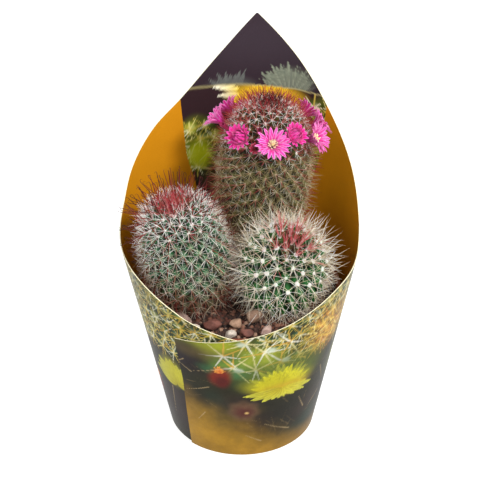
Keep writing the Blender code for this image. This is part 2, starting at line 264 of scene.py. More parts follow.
class Print:
    """Paints colours on the sheet. Places are turns along the sheet in degrees and heights in
    millimetres; sizes are millimetres on the card laid flat."""

    SLANT = math.hypot(1, FLARE)
    APEX = FOOT_RADIUS / FLARE
    MIDDLE = 200  # the turn that lies along +Y when the card is flat

    def __init__(self, turn, height, ground):
        self.turn, self.height = turn, height
        self.x, self.y = self.flat(turn, height)
        self.rgb = np.zeros(turn.shape + (3,)) + linear(ground)

    def flat(self, turn, height):
        reach = self.SLANT * (np.asarray(height, float) + self.APEX)
        angle = np.radians(np.asarray(turn, float) - self.MIDDLE) * FLARE / self.SLANT
        return reach * np.sin(angle), reach * np.cos(angle)

    def lay(self, share, colour):
        colour = linear(colour) if np.ndim(colour) == 1 else colour
        self.rgb += np.clip(share, 0, 1)[..., None] * (colour - self.rgb)

    def local(self, turn, height, angle=0.0):
        """Coordinates in millimetres about a place. angle tilts them; 0 has +Y up the card."""
        x, y = self.flat(turn, height)
        up = math.atan2(x, y) - math.radians(angle)
        dx, dy = self.x - x, self.y - y
        return dx * math.cos(up) - dy * math.sin(up), dx * math.sin(up) + dy * math.cos(up)

    def blob(self, turn, height, wide, tall, colour, soft=0.5, share=1.0, angle=0.0):
        """A spot with soft edges; wide and tall are half sizes."""
        a, b = self.local(turn, height, angle)
        reach = np.hypot(a / wide, b / tall)
        self.lay(share * (1 - smooth(1 - soft, 1 + soft, reach)), colour)

    def blobs(self, *rows):
        for row in rows:
            self.blob(*row)

    def stroke(self, turn, height, angle, length, width, colour, share=1.0):
        """A line from a place, tapered to its tip. angle 0 points up the card."""
        a, b = self.local(turn, height, angle)
        along = b / length
        half = width / 2 * (1.15 - 0.85 * along.clip(0, 1))
        cover = 1 - smooth(half * 0.55, half * 1.35, np.abs(a))
        inside = smooth(-0.02, 0.02, along) * (1 - smooth(0.96, 1.02, along))
        self.lay(share * cover * inside, colour)

    def petal(self, turn, height, angle, length, width, root, tip, share=1.0, edge=0.12):
        """A pointed petal from its root, with a colour gradient and a paler middle vein."""
        a, b = self.local(turn, height, angle)
        along = (b / length).clip(-0.2, 1.2)
        half = width / 2 * np.sin(np.pi * along.clip(0, 1) ** 0.75) ** 0.8 + 1e-6
        cover = (1 - smooth(1 - edge, 1 + edge, np.abs(a) / half)) * (along > 0) * (along < 1)
        shade = linear(root) + (linear(tip) - linear(root)) * along.clip(0, 1)[..., None]
        vein = 1 + 0.22 * np.cos(a / half * 9) * (np.abs(a) < half)
        self.lay(share * cover, shade * np.clip(vein, 0.7, 1.25)[..., None])

    def mottle(self, scale, strength, seed):
        """Lighter and darker patches over everything."""
        value = patches(self.x / scale, self.y / scale, seed)
        self.rgb *= np.exp(strength * value)[..., None]


def patches(x, y, seed):
    """Smooth noise of about -1 to 1 from three layers of random lattice values."""
    size, layers, fading = 64, 3, 1.8
    total = np.zeros(np.shape(x))
    for octave in range(layers):
        table = np.random.default_rng(seed + octave).uniform(-1, 1, (size, size))
        u, v = x * 2**octave, y * 2**octave
        i, j = np.floor(u).astype(int), np.floor(v).astype(int)
        fu, fv = smooth(0, 1, u - i), smooth(0, 1, v - j)
        left, right, low, high = i % size, (i + 1) % size, j % size, (j + 1) % size
        near = table[left, low] * (1 - fu) + table[right, low] * fu
        far = table[left, high] * (1 - fu) + table[right, high] * fu
        total += (near * (1 - fv) + far * fv) / fading**octave
    return total / 1.6


# ---------------------------------------------------------------- the sleeve's print

PRINT_DEPTH = 0.66  # darkens the outside print as a whole
PANEL = (177.5, 244.5)  # turns between which the inside carries its picture
PANEL_WAIST = 128.0  # below this height the picture narrows
PANEL_TAPER = 0.19  # by so many degrees for each millimetre, on both sides
PICTURE_TOP = 163.0


def spine_star(art, turn, height, count, reach, colours, width=0.7):
    """Spines that leave one areole, all round."""
    for k in range(count):
        angle = 360 * (k + 0.5) / count - 180 + rng.uniform(-14, 14)
        colour = pick(colours)
        art.stroke(turn, height, angle, reach * rng.uniform(0.65, 1.1), width, colour, 0.95)


def blossom(art, turn, height, reach, petals, first, last, root, tip, rings=2, wide=0.42):
    """A flower of pointed petals between two angles, outer ring first."""
    for ring in range(rings):
        size = reach * (1 - 0.25 * ring)
        for k in range(petals):
            angle = first + (last - first) * (k + 0.5 * (ring % 2) + rng.uniform(-0.2, 0.2)) / petals
            art.petal(turn, height, angle, size * rng.uniform(0.85, 1.1), size * wide, root, tip, share=0.92)


def cactus_band(art, low, high, first, last, spacing, ground, spines, reach):
    """Printed cactus skin: green knobs in rows, each with a star of spines."""
    lift = spacing * 0.8
    spots = []
    for row in range(int((high - low) / lift) + 1):
        height = low + row * lift
        step = math.degrees(spacing / (FOOT_RADIUS + FLARE * height))
        for k in range(int((last - first) / step) + 1):
            turn = first + (k + 0.5 * (row % 2)) * step + rng.uniform(-1, 1)
            spots.append((turn, height + rng.uniform(-1, 1)))
    for turn, height in spots:
        green = np.array(pick(ground))
        art.blob(turn, height, spacing * 0.62, spacing * 0.5, green * 0.45, 0.3, 0.85)
        art.blob(turn - 0.8, height + 1.0, spacing * 0.42, spacing * 0.34, green, 0.5, 0.85)
        art.blob(turn - 1.2, height + 1.6, spacing * 0.2, spacing * 0.14, green * 0.6 + 100, 0.7, 0.5)
    for turn, height in spots:
        spine_star(art, turn, height, 9, reach, spines)


def fringe(art, turn, height, step=0.0):
    """Short orange petals that fan out over a red bud."""
    root, tip = (196, 84, 40), (232, 160, 70)
    for k in range(12):
        art.petal(turn + step * k, height, -95 + 17 * k, rng.uniform(3, 5), 1.5, root, tip)


def print_ground(art):
    """Dark leaves and stems behind everything, and ochre ground at the front's foot."""
    shades = (62, 60, 38), (36, 34, 40), (84, 72, 34), (58, 44, 36), (40, 58, 44)
    art.blob(60, 26, 60, 14, (38, 36, 28), 0.9)
    for _ in range(46):
        place = rng.uniform(0, 362), rng.uniform(8, 62)
        shade = pick(shades)
        art.blob(*place, rng.uniform(4, 12), rng.uniform(3, 8), shade, 0.9, 0.6, rng.uniform(0, 180))
    level = art.height + 0.42 * np.clip(art.turn, 0, 90) - 4.5 * patches(art.x / 9, art.y / 9, 3)
    art.lay(0.95 * smooth(52, 16, level) * smooth(110, 60, art.turn), (186, 140, 40))
    art.lay(0.7 * smooth(14, 0, art.height) * smooth(140, 90, art.turn), (166, 124, 40))


def print_band(art):
    """Green cactus with yellow spines round the top, brightest at the front."""
    greens = (92, 118, 42), (70, 104, 58), (134, 146, 48), (52, 88, 52)
    golds = (214, 190, 84), (232, 214, 130), (196, 158, 60), (240, 236, 200)
    oranges = (240, 196, 78), (222, 150, 58), (252, 230, 140), (96, 74, 34)
    cactus_band(art, 68, 118, 40, 300, 9.5, greens, golds, 8.5)
    cactus_band(art, 66, 108, 300, 408, 8.5, greens, golds, 8.5)
    shadow = smooth(0.0, 0.8, 0.4 + patches(art.x / 12, art.y / 12, 15))
    art.lay(0.35 * smooth(60, 72, art.height) * shadow, (58, 60, 34))
    art.blobs(
        (20, 80, 18, 10, (168, 176, 44), 0.7, 0.95), (36, 68, 15, 8, (74, 118, 62), 0.6, 0.9),
        (49, 72, 11, 7, (168, 178, 50), 0.6, 0.8), (30, 66, 8, 5, (120, 150, 54), 0.6, 0.8),
    )
    for place in ((40, 83), (50, 76), (33, 66), (60, 68), (46, 64), (64, 80), (28, 74)):
        spine_star(art, *place, 7, 13, ((236, 226, 160), (222, 176, 74), (248, 246, 226)), width=0.95)
    for place in ((38, 82.5), (54, 77), (36, 64), (63, 68)):
        art.blob(*place, 2.2, 1.5, (214, 226, 206), 0.7, 0.85)
    # a dense tangle of orange spines at the right
    art.blob(94, 78, 17, 13, (190, 132, 44), 0.6, 0.6)
    for _ in range(150):
        place = rng.normal(92, 11), rng.normal(78, 8)
        gold = pick(oranges)
        art.stroke(*place, rng.normal(60, 42), rng.uniform(6, 13), 0.6, gold, 0.85)


def print_front(art, root, tip):
    """The picture on the front: a yellow flower seen from its side, soft above and sharp below,
    a dark corner, a red bud with a fringe, a blurred rose and stray spines."""
    art.blob(62, 59, 21, 12, (104, 120, 44), 0.7, 0.85)
    for k in range(17):
        reach = rng.uniform(15, 20)
        art.petal(62, 48, -84 + 10.5 * k, reach, 4.2, (150, 148, 36), (190, 192, 62), share=0.55, edge=0.5)
    blossom(art, 62, 48, 15, 15, -98, 98, root, tip, wide=0.30)
    art.blob(61, 51, 16, 5.5, (200, 190, 34), 0.6, 0.85)
    art.blob(64, 47, 12, 4, (206, 166, 44), 0.8, 0.75)
    for angle, reach in (
        (-104, 21), (-116, 17), (-132, 12), (-160, 8), (176, 8), (152, 9), (132, 13), (114, 17), (102, 20),
    ):
        art.petal(62, 48, angle, reach, 4.4, (190, 172, 34), (218, 216, 74), share=0.9)
    for _ in range(16):
        place = 63 + rng.normal(0, 6), 54 + rng.normal(0, 2.5)
        art.stroke(*place, rng.uniform(-25, 25), rng.uniform(2, 4), 0.5, (150, 146, 24), 0.5)
    art.blobs(
        (6, 70, 13, 11, (40, 30, 34), 0.6, 0.95), (14, 74, 16, 4, (110, 92, 52), 0.8, 0.5),
        (27, 62, 11, 3.4, (66, 112, 72), 0.6, 0.8, -10), (25.5, 59, 5.2, 6.4, (128, 42, 28), 0.5, 1.0, -35),
        (26.5, 55, 3.6, 4, (92, 30, 26), 0.6),
    )
    fringe(art, 23.5, 62, 0.3)
    for k in range(7):
        away = math.radians(51 * k)
        east, north = math.sin(away), math.cos(away)
        art.blob(39 + 4.6 * east, 34 + 3.4 * north, 3.4, 4.6, (122, 92, 66), 0.5, 0.5, -51 * k)
        art.blob(39 + 3.2 * east, 34 + 2.4 * north, 2.4, 3.2, (86, 48, 42), 0.6, 0.5, -51 * k)
    art.blob(39.5, 33, 4, 3, (88, 42, 38), 0.8, 0.9)
    art.blob(41, 32.5, 1.0, 0.8, (232, 190, 120), 0.6, 0.9)
    for spine in (
        (4, 66, 128, 15), (8, 58, 60, 13), (18, 50, 118, 15), (30, 66, 112, 20), (84, 26, 28, 12),
        (94, 50, 205, 16), (74, 14, 62, 18), (52, 10, 58, 11), (14, 30, 150, 9), (100, 30, 130, 12),
    ):
        art.stroke(*spine, 0.5, (206, 178, 130), 0.6)
    for _ in range(30):
        place = rng.uniform(4, 110), rng.uniform(12, 62)
        art.stroke(*place, rng.normal(60, 60), rng.uniform(5, 14), 0.4, (150, 126, 84), rng.uniform(0.1, 0.4))


def paint_outside(turn, height):
    art = Print(turn, height, (46, 44, 28))
    yellow_root, yellow_tip = (186, 172, 30), (214, 210, 44)
    print_ground(art)
    print_band(art)
    print_front(art, yellow_root, yellow_tip)
    # left of the seam: a second yellow flower below the green band, dark ground under it
    art.blob(348, 25, 22, 17, (54, 42, 40), 0.7, 0.9)
    blossom(art, 352, 42, 17, 9, -70, 96, (176, 160, 34), (206, 204, 62), wide=0.5)
    art.blob(350, 50, 7, 8, (198, 190, 46), 0.7, 0.8)
    art.stroke(346, 38, 170, 22, 0.6, (196, 170, 120), 0.6)
    # behind: more blossoms and red buds over the dark ground
    for spot, level, reach in ((128, 48, 15), (170, 60, 19), (214, 50, 17), (256, 64, 18), (300, 44, 14)):
        art.blob(spot, level, reach * 1.1, reach * 0.7, (112, 122, 48), 0.8, 0.7)
        blossom(art, spot, level, reach, 12, -110, 110, yellow_root, yellow_tip)
        art.blob(spot, level + reach * 0.2, reach * 0.7, reach * 0.3, (214, 200, 36), 0.7, 0.8)
    for spot, level in ((146, 36), (190, 30), (236, 34), (280, 36), (322, 30)):
        art.blob(spot, level, 4.6, 5.4, (126, 42, 30))
        fringe(art, spot, level + 4)
    # the peak is plain purple-brown outside, above a row of ghost blossoms
    art.lay(smooth(118, 130, height + 3 * patches(art.x / 8, art.y / 8, 5)), (52, 38, 46))
    for k in range(9):
        level = 126 + 5 * math.sin(k * 2.4)
        blossom(art, 160 + 12.5 * k, level, 10, 9, -95, 95, (96, 92, 86), (132, 132, 118), rings=1)
    art.mottle(6.0, 0.16, 21)
    art.mottle(1.6, 0.10, 31)
    return (PRINT_DEPTH * art.rgb).clip(0, 1)


def print_ghosts(art):
    """Above the inside picture: dark card with two grey-green ghost blossoms."""
    art.lay(np.ones(art.turn.shape), (46, 35, 42))
    art.blob(208, 186, 30, 14, (54, 44, 52), 0.9, 0.8)
    blossom(art, 196, 158, 19, 17, -62, 58, (98, 104, 92), (122, 130, 112), wide=0.18)
    blossom(art, 221, 154, 17, 12, -70, 30, (76, 78, 78), (96, 100, 96), wide=0.2)
    art.blob(195, 167, 10, 6, (112, 118, 102), 0.6, 0.8)
    art.blob(221, 162, 11, 4.5, (86, 88, 86), 0.6, 0.8)
    for k in range(26):
        colour = ((140, 146, 126), (98, 102, 94), (112, 118, 104))[k % 3]
        art.stroke(196, 157, -62 + 4.8 * k, rng.uniform(14, 21), 0.8, colour, 0.7)


def print_picture(art):
    """The inside picture: dark ground, a yellow blossom behind, spiny cacti at both sides."""
    art.lay(np.ones(art.turn.shape), (44, 28, 32))
    for _ in range(20):
        place = rng.uniform(178, 244), rng.uniform(90, 150)
        shade = pick(((70, 50, 30), (40, 30, 40), (92, 84, 36), (50, 60, 34)))
        art.blob(*place, rng.uniform(4, 9), rng.uniform(4, 9), shade, 0.9, 0.6)
    for k in range(15):
        art.petal(205, 143, -58 + 8.4 * k, rng.uniform(19, 25), 7, (214, 160, 30), (232, 204, 70), share=0.95)
    art.blob(205, 157, 20, 7, (222, 178, 36), 0.35, 0.9)
    art.petal(218, 160.8, -84, 15, 3.4, (226, 200, 70), (246, 244, 226), share=0.95)
    art.petal(218, 158.0, -94, 12, 2.6, (214, 190, 70), (240, 236, 214), share=0.95)
    for low, high, last, first in ((120, 147, 247, 230), (120, 162, 184, 172)):
        art.blob((first + last) / 2, (low + high) / 2, 11, (high - low) * 0.5, (98, 108, 30), 0.3, 0.95)
        cactus_band(
            art, low, high, first, last, 9.0, ((146, 158, 42), (110, 128, 40), (170, 176, 60), (84, 100, 36)),
            ((224, 214, 128), (206, 184, 82), (240, 236, 190), (178, 160, 60)), 8.5,
        )
    art.blob(238, 127, 7, 7, (186, 194, 24), 0.5, 0.85)
    cactus_band(
        art, 84, 108, 190, 232, 9.0, ((96, 110, 40), (70, 88, 36), (120, 126, 44)),
        ((214, 200, 110), (190, 160, 70), (232, 226, 180)), 8.0,
    )


def paint_inside(turn, height):
    art = Print(turn, height, (190, 126, 18))
    # painted shade: the inside darkens towards the foot, deep in the cone
    art.lay(0.85 * smooth(130, 50, height), (156, 84, 10))
    art.lay(0.35 * smooth(0.2, 1.2, patches(art.x / 40, art.y / 40, 8) + 0.5), (196, 124, 18))
    # the ochre ground with its painted shade, kept for outside the picture
    ochre = art.rgb.copy()
    print_ghosts(art)
    ghost = art.rgb.copy()
    print_picture(art)
    above = height >= PICTURE_TOP
    art.rgb[above] = ghost[above]
    art.lay(0.8 * (1 - smooth(0.2, 0.5, np.abs(height - PICTURE_TOP))), (170, 160, 110))
    # the picture's outline: straight sides, drawn in below the waist
    draw_in = PANEL_TAPER * np.clip(PANEL_WAIST - height, 0, 60)
    inside = smooth(PANEL[0] - 0.15, PANEL[0] + 0.15, turn - draw_in)
    inside *= 1 - smooth(PANEL[1] - 0.15, PANEL[1] + 0.15, turn + draw_in)
    art.rgb = ochre + inside[..., None] * (art.rgb - ochre)
    art.mottle(5.0, 0.03, 41)
    return art.rgb.clip(0, 1)


def steps_between(*stretches):
    """Increasing turns: each stretch is (start, end, step)."""
    runs = [np.linspace(low, high, int((high - low) / step) + 2) for low, high, step in stretches]
    return np.unique(np.concatenate(runs))


def print_material(name, gloss, grain):
    card = Shader(name, Roughness=gloss, IOR=1.46, Specular_IOR_Level=0.10)
    fibre = card.noise(1400, 3)
    wave = card.noise(60, 2)
    card.set(card.surface, {
        "Base Color": card.speckled(card.tint(), fibre, 0.90, 1.0, share=grain),
        "Roughness": card.math("MULTIPLY_ADD", fibre, 0.14, gloss - 0.05),
    })
    card.bump(card.math("MULTIPLY_ADD", wave, 3.0, fibre), 0.10, 0.0003)
    return card.material


def edge_material():
    edge = Shader("card_edge", Roughness=0.8)
    fibre = edge.noise(2600, 4)
    paper = edge.ramp(fibre, (0.3, linear((214, 206, 170))), (0.7, linear((246, 240, 208))))
    edge.set(edge.surface, {"Base Color": paper})
    edge.bump(fibre, 0.4, 0.0001)
    return edge.material


def sleeve():
    edge = edge_material()
    rows = 160
    turns = steps_between((0, 128, 0.6), (128, 308, 1.2), (308, SHEET_END, 0.65))
    share = np.linspace(0, 1, rows)[:, None]
    height = share * top_edge(turns)[None, :]
    turn = np.broadcast_to(turns, height.shape)
    outer = sheet_points(turn, height, 0.0)
    inner = sheet_points(turn, height, CARD)
    count, across = outer[..., 0].size, len(turns)
    quads, uv = grid_faces(rows, across)
    index = np.arange(count).reshape(rows, across)
    rim = [index[-1], index[0][::-1], index[:, 0], index[::-1, -1]]
    points, strips, strip_uv = [outer.reshape(-1, 3)], [], []
    shift = count
    for line, depth in ((r, inner.reshape(-1, 3)[r]) for r in rim):
        n = len(line)
        points += [outer.reshape(-1, 3)[line], depth]
        a = shift + np.arange(n - 1)
        strips.append(np.stack([a, a + 1, a + n + 1, a + n], axis=1))
        strip_uv.append(np.tile([[0.0, 0.0], [0.02, 0.0], [0.02, 0.002], [0.0, 0.002]], (n - 1, 1)))
        shift += 2 * n
    faces = np.concatenate([quads] + strips)
    slots = np.concatenate([np.zeros(len(quads)), np.ones(len(faces) - len(quads))])
    uv = np.concatenate([0.01 + 0.98 * uv] + strip_uv)
    points = np.concatenate(points)
    tint = np.ones((len(points), 3))
    tint[:count] = paint_outside(turn, height).reshape(-1, 3)
    outside = make_mesh(
        "sleeve_outside", points, [faces], [print_material("print_outside", 0.36, 0.8), edge], slots, uv, tint
    )
    keep(outside, "printed_card", "card_sleeve")
    # the inside face, finest where it carries the picture
    turns = steps_between(
        (0, 176, 2.5), (176, 177.3, 0.6), (177.35, 177.65, 0.15), (178, 244, 0.6), (244.35, 244.65, 0.15),
        (245, SHEET_END, 2.5),
    )
    share = np.concatenate([np.linspace(0, 0.42, 20), np.linspace(0.42, 1, 150)[1:]])[:, None]
    height = share * top_edge(turns)[None, :]
    turn = np.broadcast_to(turns, height.shape)
    quads, uv = grid_faces(*height.shape, flip=True)
    inside = make_mesh(
        "sleeve_inside", sheet_points(turn, height, CARD).reshape(-1, 3), [quads],
        [print_material("print_inside", 0.42, 0.6)], None, uv, paint_inside(turn, height).reshape(-1, 3),
    )
    keep(inside, "printed_card", "card_sleeve")


# ---------------------------------------------------------------- cacti

SOIL_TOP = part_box("potting_soil")[1][2]
GRIT_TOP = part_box("grit_layer")[1][2]

# The bodies, as in the CAD: place of the foot from the soil's top, lean, height and radius in
# millimetres, and superellipse powers. Then the number of tubercles, how closely they crowd at the
# crown, how far they stand out and how deep the valleys lie, the colours of valley (near-black,
# painted shade in the creases), flank and tip, the colour of the old skin at the foot and where it
# begins, and the colour of the growing crown.
CACTI = {
    "cactus_front_right": dict(
        foot=(17.6, -6.0, 8.3), lean=(0.17, -0.50, 1.0), height=47.0, radius=20.2,
        belly=0.50, crown=2.1, base=2.2, tubercles=150, crowding=1.35, rise=2.6, sink=2.8,
        colours=((6, 22, 8), (28, 92, 36), (88, 136, 60)), old=(74, 66, 40), aged_from=0.75,
        young=(96, 60, 44), slot="flesh_deep_green",
    ),
    "cactus_front_left": dict(
        foot=(-20.9, -9.0, 2.9), lean=(-0.21, -0.07, 1.0), height=63.5, radius=20.6,
        belly=0.52, crown=2.5, base=2.3, tubercles=300, crowding=1.3, rise=1.8, sink=1.6,
        colours=((6, 14, 8), (44, 100, 62), (112, 160, 118)), old=(104, 52, 38), aged_from=0.46,
        young=(140, 52, 56), slot="flesh_grey_green",
    ),
    "cactus_tall": dict(
        foot=(7.2, 25.7, 2.9), lean=(0.0909, 0.0707, 1.0), height=95.5, radius=21.9,
        belly=0.62, crown=2.6, base=2.5, tubercles=520, crowding=1.35, rise=1.7, sink=1.5,
        colours=((20, 20, 8), (72, 72, 28), (122, 110, 56)), old=(92, 74, 44), aged_from=0.62,
        young=(92, 20, 26), slot="flesh_olive",
    ),
}
CARD_CLEARANCE = 0.5  # spines keep this far off the card's inner face
CARD_MARGIN = 14.0  # and do so up to this far above its edge
SHORTENINGS = 7


def outline(spec, swell=0.0):
    """Half outline from crown to foot: radius and height in millimetres."""
    radius, height = spec["radius"] + swell, spec["height"] + 2 * swell
    above, below = height * (1 - spec["belly"]), height * spec["belly"]
    angle = np.linspace(0, math.pi, 400)
    upper = angle <= math.pi / 2
    power = np.where(upper, 2 / spec["crown"], 2 / spec["base"])
    side = np.sin(angle).clip(0, 1) ** power
    rise = np.abs(np.cos(angle)) ** power * np.where(upper, above, -below)
    return radius * side, rise + below - swell


def placed(spec, points):
    """Points of a body in millimetres, put in place in metres."""
    turn = Vector((0, 0, 1)).rotation_difference(Vector(spec["lean"]).normalized())
    matrix = np.array(turn.to_matrix())
    return points @ matrix.T * MM + np.array(spec["foot"]) * MM + (0, 0, SOIL_TOP)


def along_outline(spec, share):
    """Radius, height and outward slope (radial, axial) at shares of the outline's area."""
    radius, height = outline(spec)
    step = np.hypot(np.diff(radius), np.diff(height))
    area = np.concatenate([[0], np.cumsum(step * (radius[1:] + radius[:-1]) / 2)])
    at = np.interp(np.asarray(share) * area[-1], area, np.arange(len(area)))
    rows = np.arange(len(area))
    curves = radius, height, np.gradient(radius), np.gradient(height)
    r, z, dr, dz = (np.interp(at, rows, curve) for curve in curves)
    length = np.hypot(dr, dz)
    return r, z, -dz / length, dr / length


def areoles(spec):
    """Sites of the tubercles on a golden-angle spiral: places, outward normals, the ways down
    and round the body, and share of the area from crown to foot."""
    count = spec["tubercles"]
    share = ((np.arange(count) + 0.5) / count) ** spec["crowding"]
    r, z, out, up = along_outline(spec, share)
    level = round_body(np.arange(count) * GOLDEN_ANGLE)
    normal = unit(level * out[:, None] + UP * up[:, None])
    down = unit(level * up[:, None] - UP * out[:, None])
    place = level * r[:, None] + UP * z[:, None]
    return place, normal, down, np.cross(normal, down), share


def cactus_skin(name, spec):
    """The flesh: a fine surface pushed out into a rounded cone at each site, with creases
    halfway between neighbours."""
    rows, columns = 170, 230
    place, _, _, _, share = areoles(spec)
    ring = (1 - np.cos(np.linspace(0.02, math.pi - 0.02, rows))) / 2
    r, z, out, up = along_outline(spec, ring)
    level = round_body(2 * math.pi * np.arange(columns) / columns)
    base = level[None] * r[:, None, None] + UP * z[:, None, None]
    normal = unit(level[None] * out[:, None, None] + UP * up[:, None, None])
    flat = base.reshape(-1, 3)
    relief, owner = np.zeros(len(flat)), np.zeros(len(flat), int)
    for part in np.array_split(np.arange(len(flat)), 24):
        gap = np.linalg.norm(flat[part][:, None] - place[None], axis=2)
        near = np.argpartition(gap, 2, axis=1)[:, :2]
        pair = np.sort(np.take_along_axis(gap, near, axis=1), axis=1)
        relief[part] = (pair[:, 1] - pair[:, 0]) / (pair[:, 1] + pair[:, 0])
        owner[part] = gap.argmin(axis=1)
    bulge = np.sin(relief * math.pi / 2) ** 0.85
    push = -spec["sink"] + (spec["rise"] + spec["sink"]) * bulge
    push *= 1 - 0.25 * patches(flat[:, 0] / 6 + 9, flat[:, 2] / 6, 5)
    points = flat + normal.reshape(-1, 3) * np.minimum(push, spec["rise"])[:, None]
    ends = np.array([[0, 0, z[0] + 0.4], [0, 0, z[-1] - 0.2]])
    points = np.concatenate([points, ends])
    quads, uv = grid_faces(rows, columns, wrap=True, flip=True)
    k = np.arange(columns)
    after = (k + 1) % columns
    last = (rows - 1) * columns
    top = np.stack([np.full(columns, len(flat)), after, k], axis=1)[:, ::-1]
    foot = np.stack([np.full(columns, len(flat) + 1), last + k, last + after], axis=1)[:, ::-1]
    caps_uv = np.tile([[0.0, 0.0], [0.001, 0.0], [0.0, 0.001]], (2 * columns, 1))
    valley_shade, flank, tip = (linear(c) for c in spec["colours"])
    lot = np.random.default_rng(5).uniform(-1, 1, (len(place), 3))
    mix = relief[:, None]
    # painted shade: the colour runs from near-black in the creases between tubercles to the flank and tip
    # colours
    tint = valley_shade + (flank - valley_shade) * smooth(0.0, 0.5, mix) + (tip - flank) * smooth(0.55, 1.0, mix)
    tint *= np.exp(lot[owner] * (0.14, 0.10, 0.14))
    young = smooth(0.03, 0.0, share[owner])[:, None]
    tint += 0.75 * young * (linear(spec["young"]) - tint)
    age = smooth(spec["aged_from"], 1.0, share[owner])[:, None]
    # the old skin at the foot, also painted darker in the creases as shade
    tint += 0.8 * age * (linear(spec["old"]) * (0.35 + 0.65 * mix) - tint)
    tint = np.concatenate([tint, tint[[0, -1]]])
    uv = np.concatenate([uv, caps_uv])
    flesh = Shader(f"{name}_skin", IOR=1.42, Subsurface_Weight=0.06, Subsurface_Scale=0.0015)
    fleck = flesh.noise(900, 4)
    flesh.set(flesh.surface, {
        "Base Color": flesh.speckled(flesh.tint(), fleck, 0.82, 1.12),
        "Roughness": flesh.math("MULTIPLY_ADD", fleck, 0.25, 0.36),
    })
    flesh.bump(flesh.noise(2200, 3), 0.25, 0.0002)
    return make_mesh(
        f"{name}_skin", placed(spec, points), [quads, top, foot], [flesh.material], None, uv, tint
    )


def past_the_card(points):
    """True where points, in millimetres, lie in or behind the sleeve's wall."""
    turn = (np.degrees(np.arctan2(points[..., 0], -points[..., 1])) - SEAM) % 360
    wall = FOOT_RADIUS + FLARE * points[..., 2] - 2 * CARD - LAP_GAP - CARD_CLEARANCE
    return (np.hypot(points[..., 0], points[..., 1]) > wall) & (points[..., 2] < top_edge(turn) + CARD_MARGIN)


def kept_inside(spec, root, lines):
    """Shortens the spines that would run into the card."""
    for _ in range(SHORTENINGS):
        standing = placed(spec, lines.reshape(-1, 3)).reshape(lines.shape) / MM
        hits = past_the_card(standing).any(axis=1)
        lines[hits] = root[hits, None] + (lines[hits] - root[hits, None]) * 0.8
    return lines


class Batch:
    """Many small shapes gathered into one mesh."""

    STRIPS = 32  # bands that share the texture square

    def __init__(self):
        self.points, self.quads, self.uv, self.tint, self.slots = [], [], [], [], []
        self.count = 0

    def take(self, points, quads, uv, tint, slot=0):
        """points (N, P, 3) and tint alike; quads index the P points of one shape; uv by corner."""
        many, size = points.shape[:2]
        shift = self.count + size * np.arange(many)[:, None, None]
        self.points.append(points.reshape(-1, 3))
        self.tint.append(np.broadcast_to(tint, points.shape).reshape(-1, 3))
        self.quads.append((quads[None] + shift).reshape(-1, 4))
        self.uv.append(uv.reshape(-1, 2))
        self.slots.append(np.full(many * len(quads), slot))
        self.count += many * size

    def tubes(self, lines, wide, thick, across, bands, tint, sides=3, cup=0.0, slot=0):
        """Tapered tubes along centre lines (N, K, 3). across is one sideways direction for each
        line; wide and thick are half sizes along and square to it. Each tube's texture is a strip
        of its band, so tubes of one band share one colouring."""
        many, rings = lines.shape[:2]
        tangent = unit(np.gradient(lines, axis=1))
        sideways = np.broadcast_to(across[:, None, :], lines.shape)
        other = unit(np.cross(tangent, sideways))
        angle = 2 * math.pi * np.arange(sides) / sides
        c, s = np.cos(angle)[None, None, :, None], np.sin(angle)[None, None, :, None]
        half, deep = (np.broadcast_to(v, (many, rings))[..., None, None] for v in (wide, thick))
        points = lines[:, :, None] + sideways[:, :, None] * half * c
        points = points + other[:, :, None] * (deep * s + cup * half * c * c)
        quads, uv = grid_faces(rings, sides, wrap=True)
        low = (np.asarray(bands)[:, None] + 0.06) / self.STRIPS
        length = np.broadcast_to(0.02 + 0.96 * uv[:, 1], (many, len(uv)))
        uv = np.stack([length, low + uv[:, 0] * 0.88 / self.STRIPS], axis=-1)
        tint = np.broadcast_to(tint, points.shape)
        self.take(points.reshape(many, -1, 3), quads, uv, tint.reshape(many, -1, 3), slot)

    def lumps(
        self, places, sizes, tint, rows, columns, turns=None, facets=0, edge=9.0, rough=0.0, slot=0, seed=1
    ):
        """Pebble shapes: sizes are half lengths along three axes, turned by matrices. facets cuts
        each to that many rounded flats. Every lump has its own cell of the texture."""
        own = np.random.default_rng(seed)
        many = len(places)
        polar = np.linspace(0.001, math.pi - 0.001, rows)[:, None]
        round_ = 2 * math.pi * np.arange(columns)[None, :] / columns
        ring, level = np.sin(polar), np.cos(polar) + 0 * round_
        ball = np.stack([ring * np.cos(round_), ring * np.sin(round_), level], -1).reshape(-1, 3)
        reach = np.ones((many, len(ball)))
        if facets:
            flats = unit(own.normal(size=(many, facets, 3)))
            depth = own.uniform(0.72, 1.0, (many, facets, 1))
            lean = np.clip(flats @ ball.T, 0, 1) / depth
            reach = (lean**edge).sum(axis=1).clip(1e-6) ** (-1 / edge)
            reach = reach.clip(0.6, 1.25)
        if rough:
            wave = own.normal(size=(many, 6, 3)) * 2.6
            phase = own.uniform(0, 6, (many, 6, 1))
            reach = reach * (1 + rough * np.sin(wave @ ball.T + phase).mean(axis=1))
        points = ball[None] * reach[..., None] * np.asarray(sizes)[:, None, :]
        if turns is not None:
            points = np.einsum("nij,npj->npi", turns, points)
        points = points + places[:, None, :]
        quads, uv = grid_faces(rows, columns, wrap=True, flip=True)
        cells = math.ceil(math.sqrt(many))
        corner = np.stack([np.arange(many) % cells, np.arange(many) // cells], axis=1)[:, None, :]
        uv = (corner + 0.05 + 0.9 * uv[None]) / cells
        tint = np.broadcast_to(tint if np.ndim(tint) < 2 else np.asarray(tint)[:, None, :], points.shape)
        self.take(points, quads, uv, tint, slot)

    def build(self, name, materials):
        return make_mesh(
            name, np.concatenate(self.points) * MM, [np.concatenate(self.quads)], materials,
            np.concatenate(self.slots), np.concatenate(self.uv), np.concatenate(self.tint),
        )


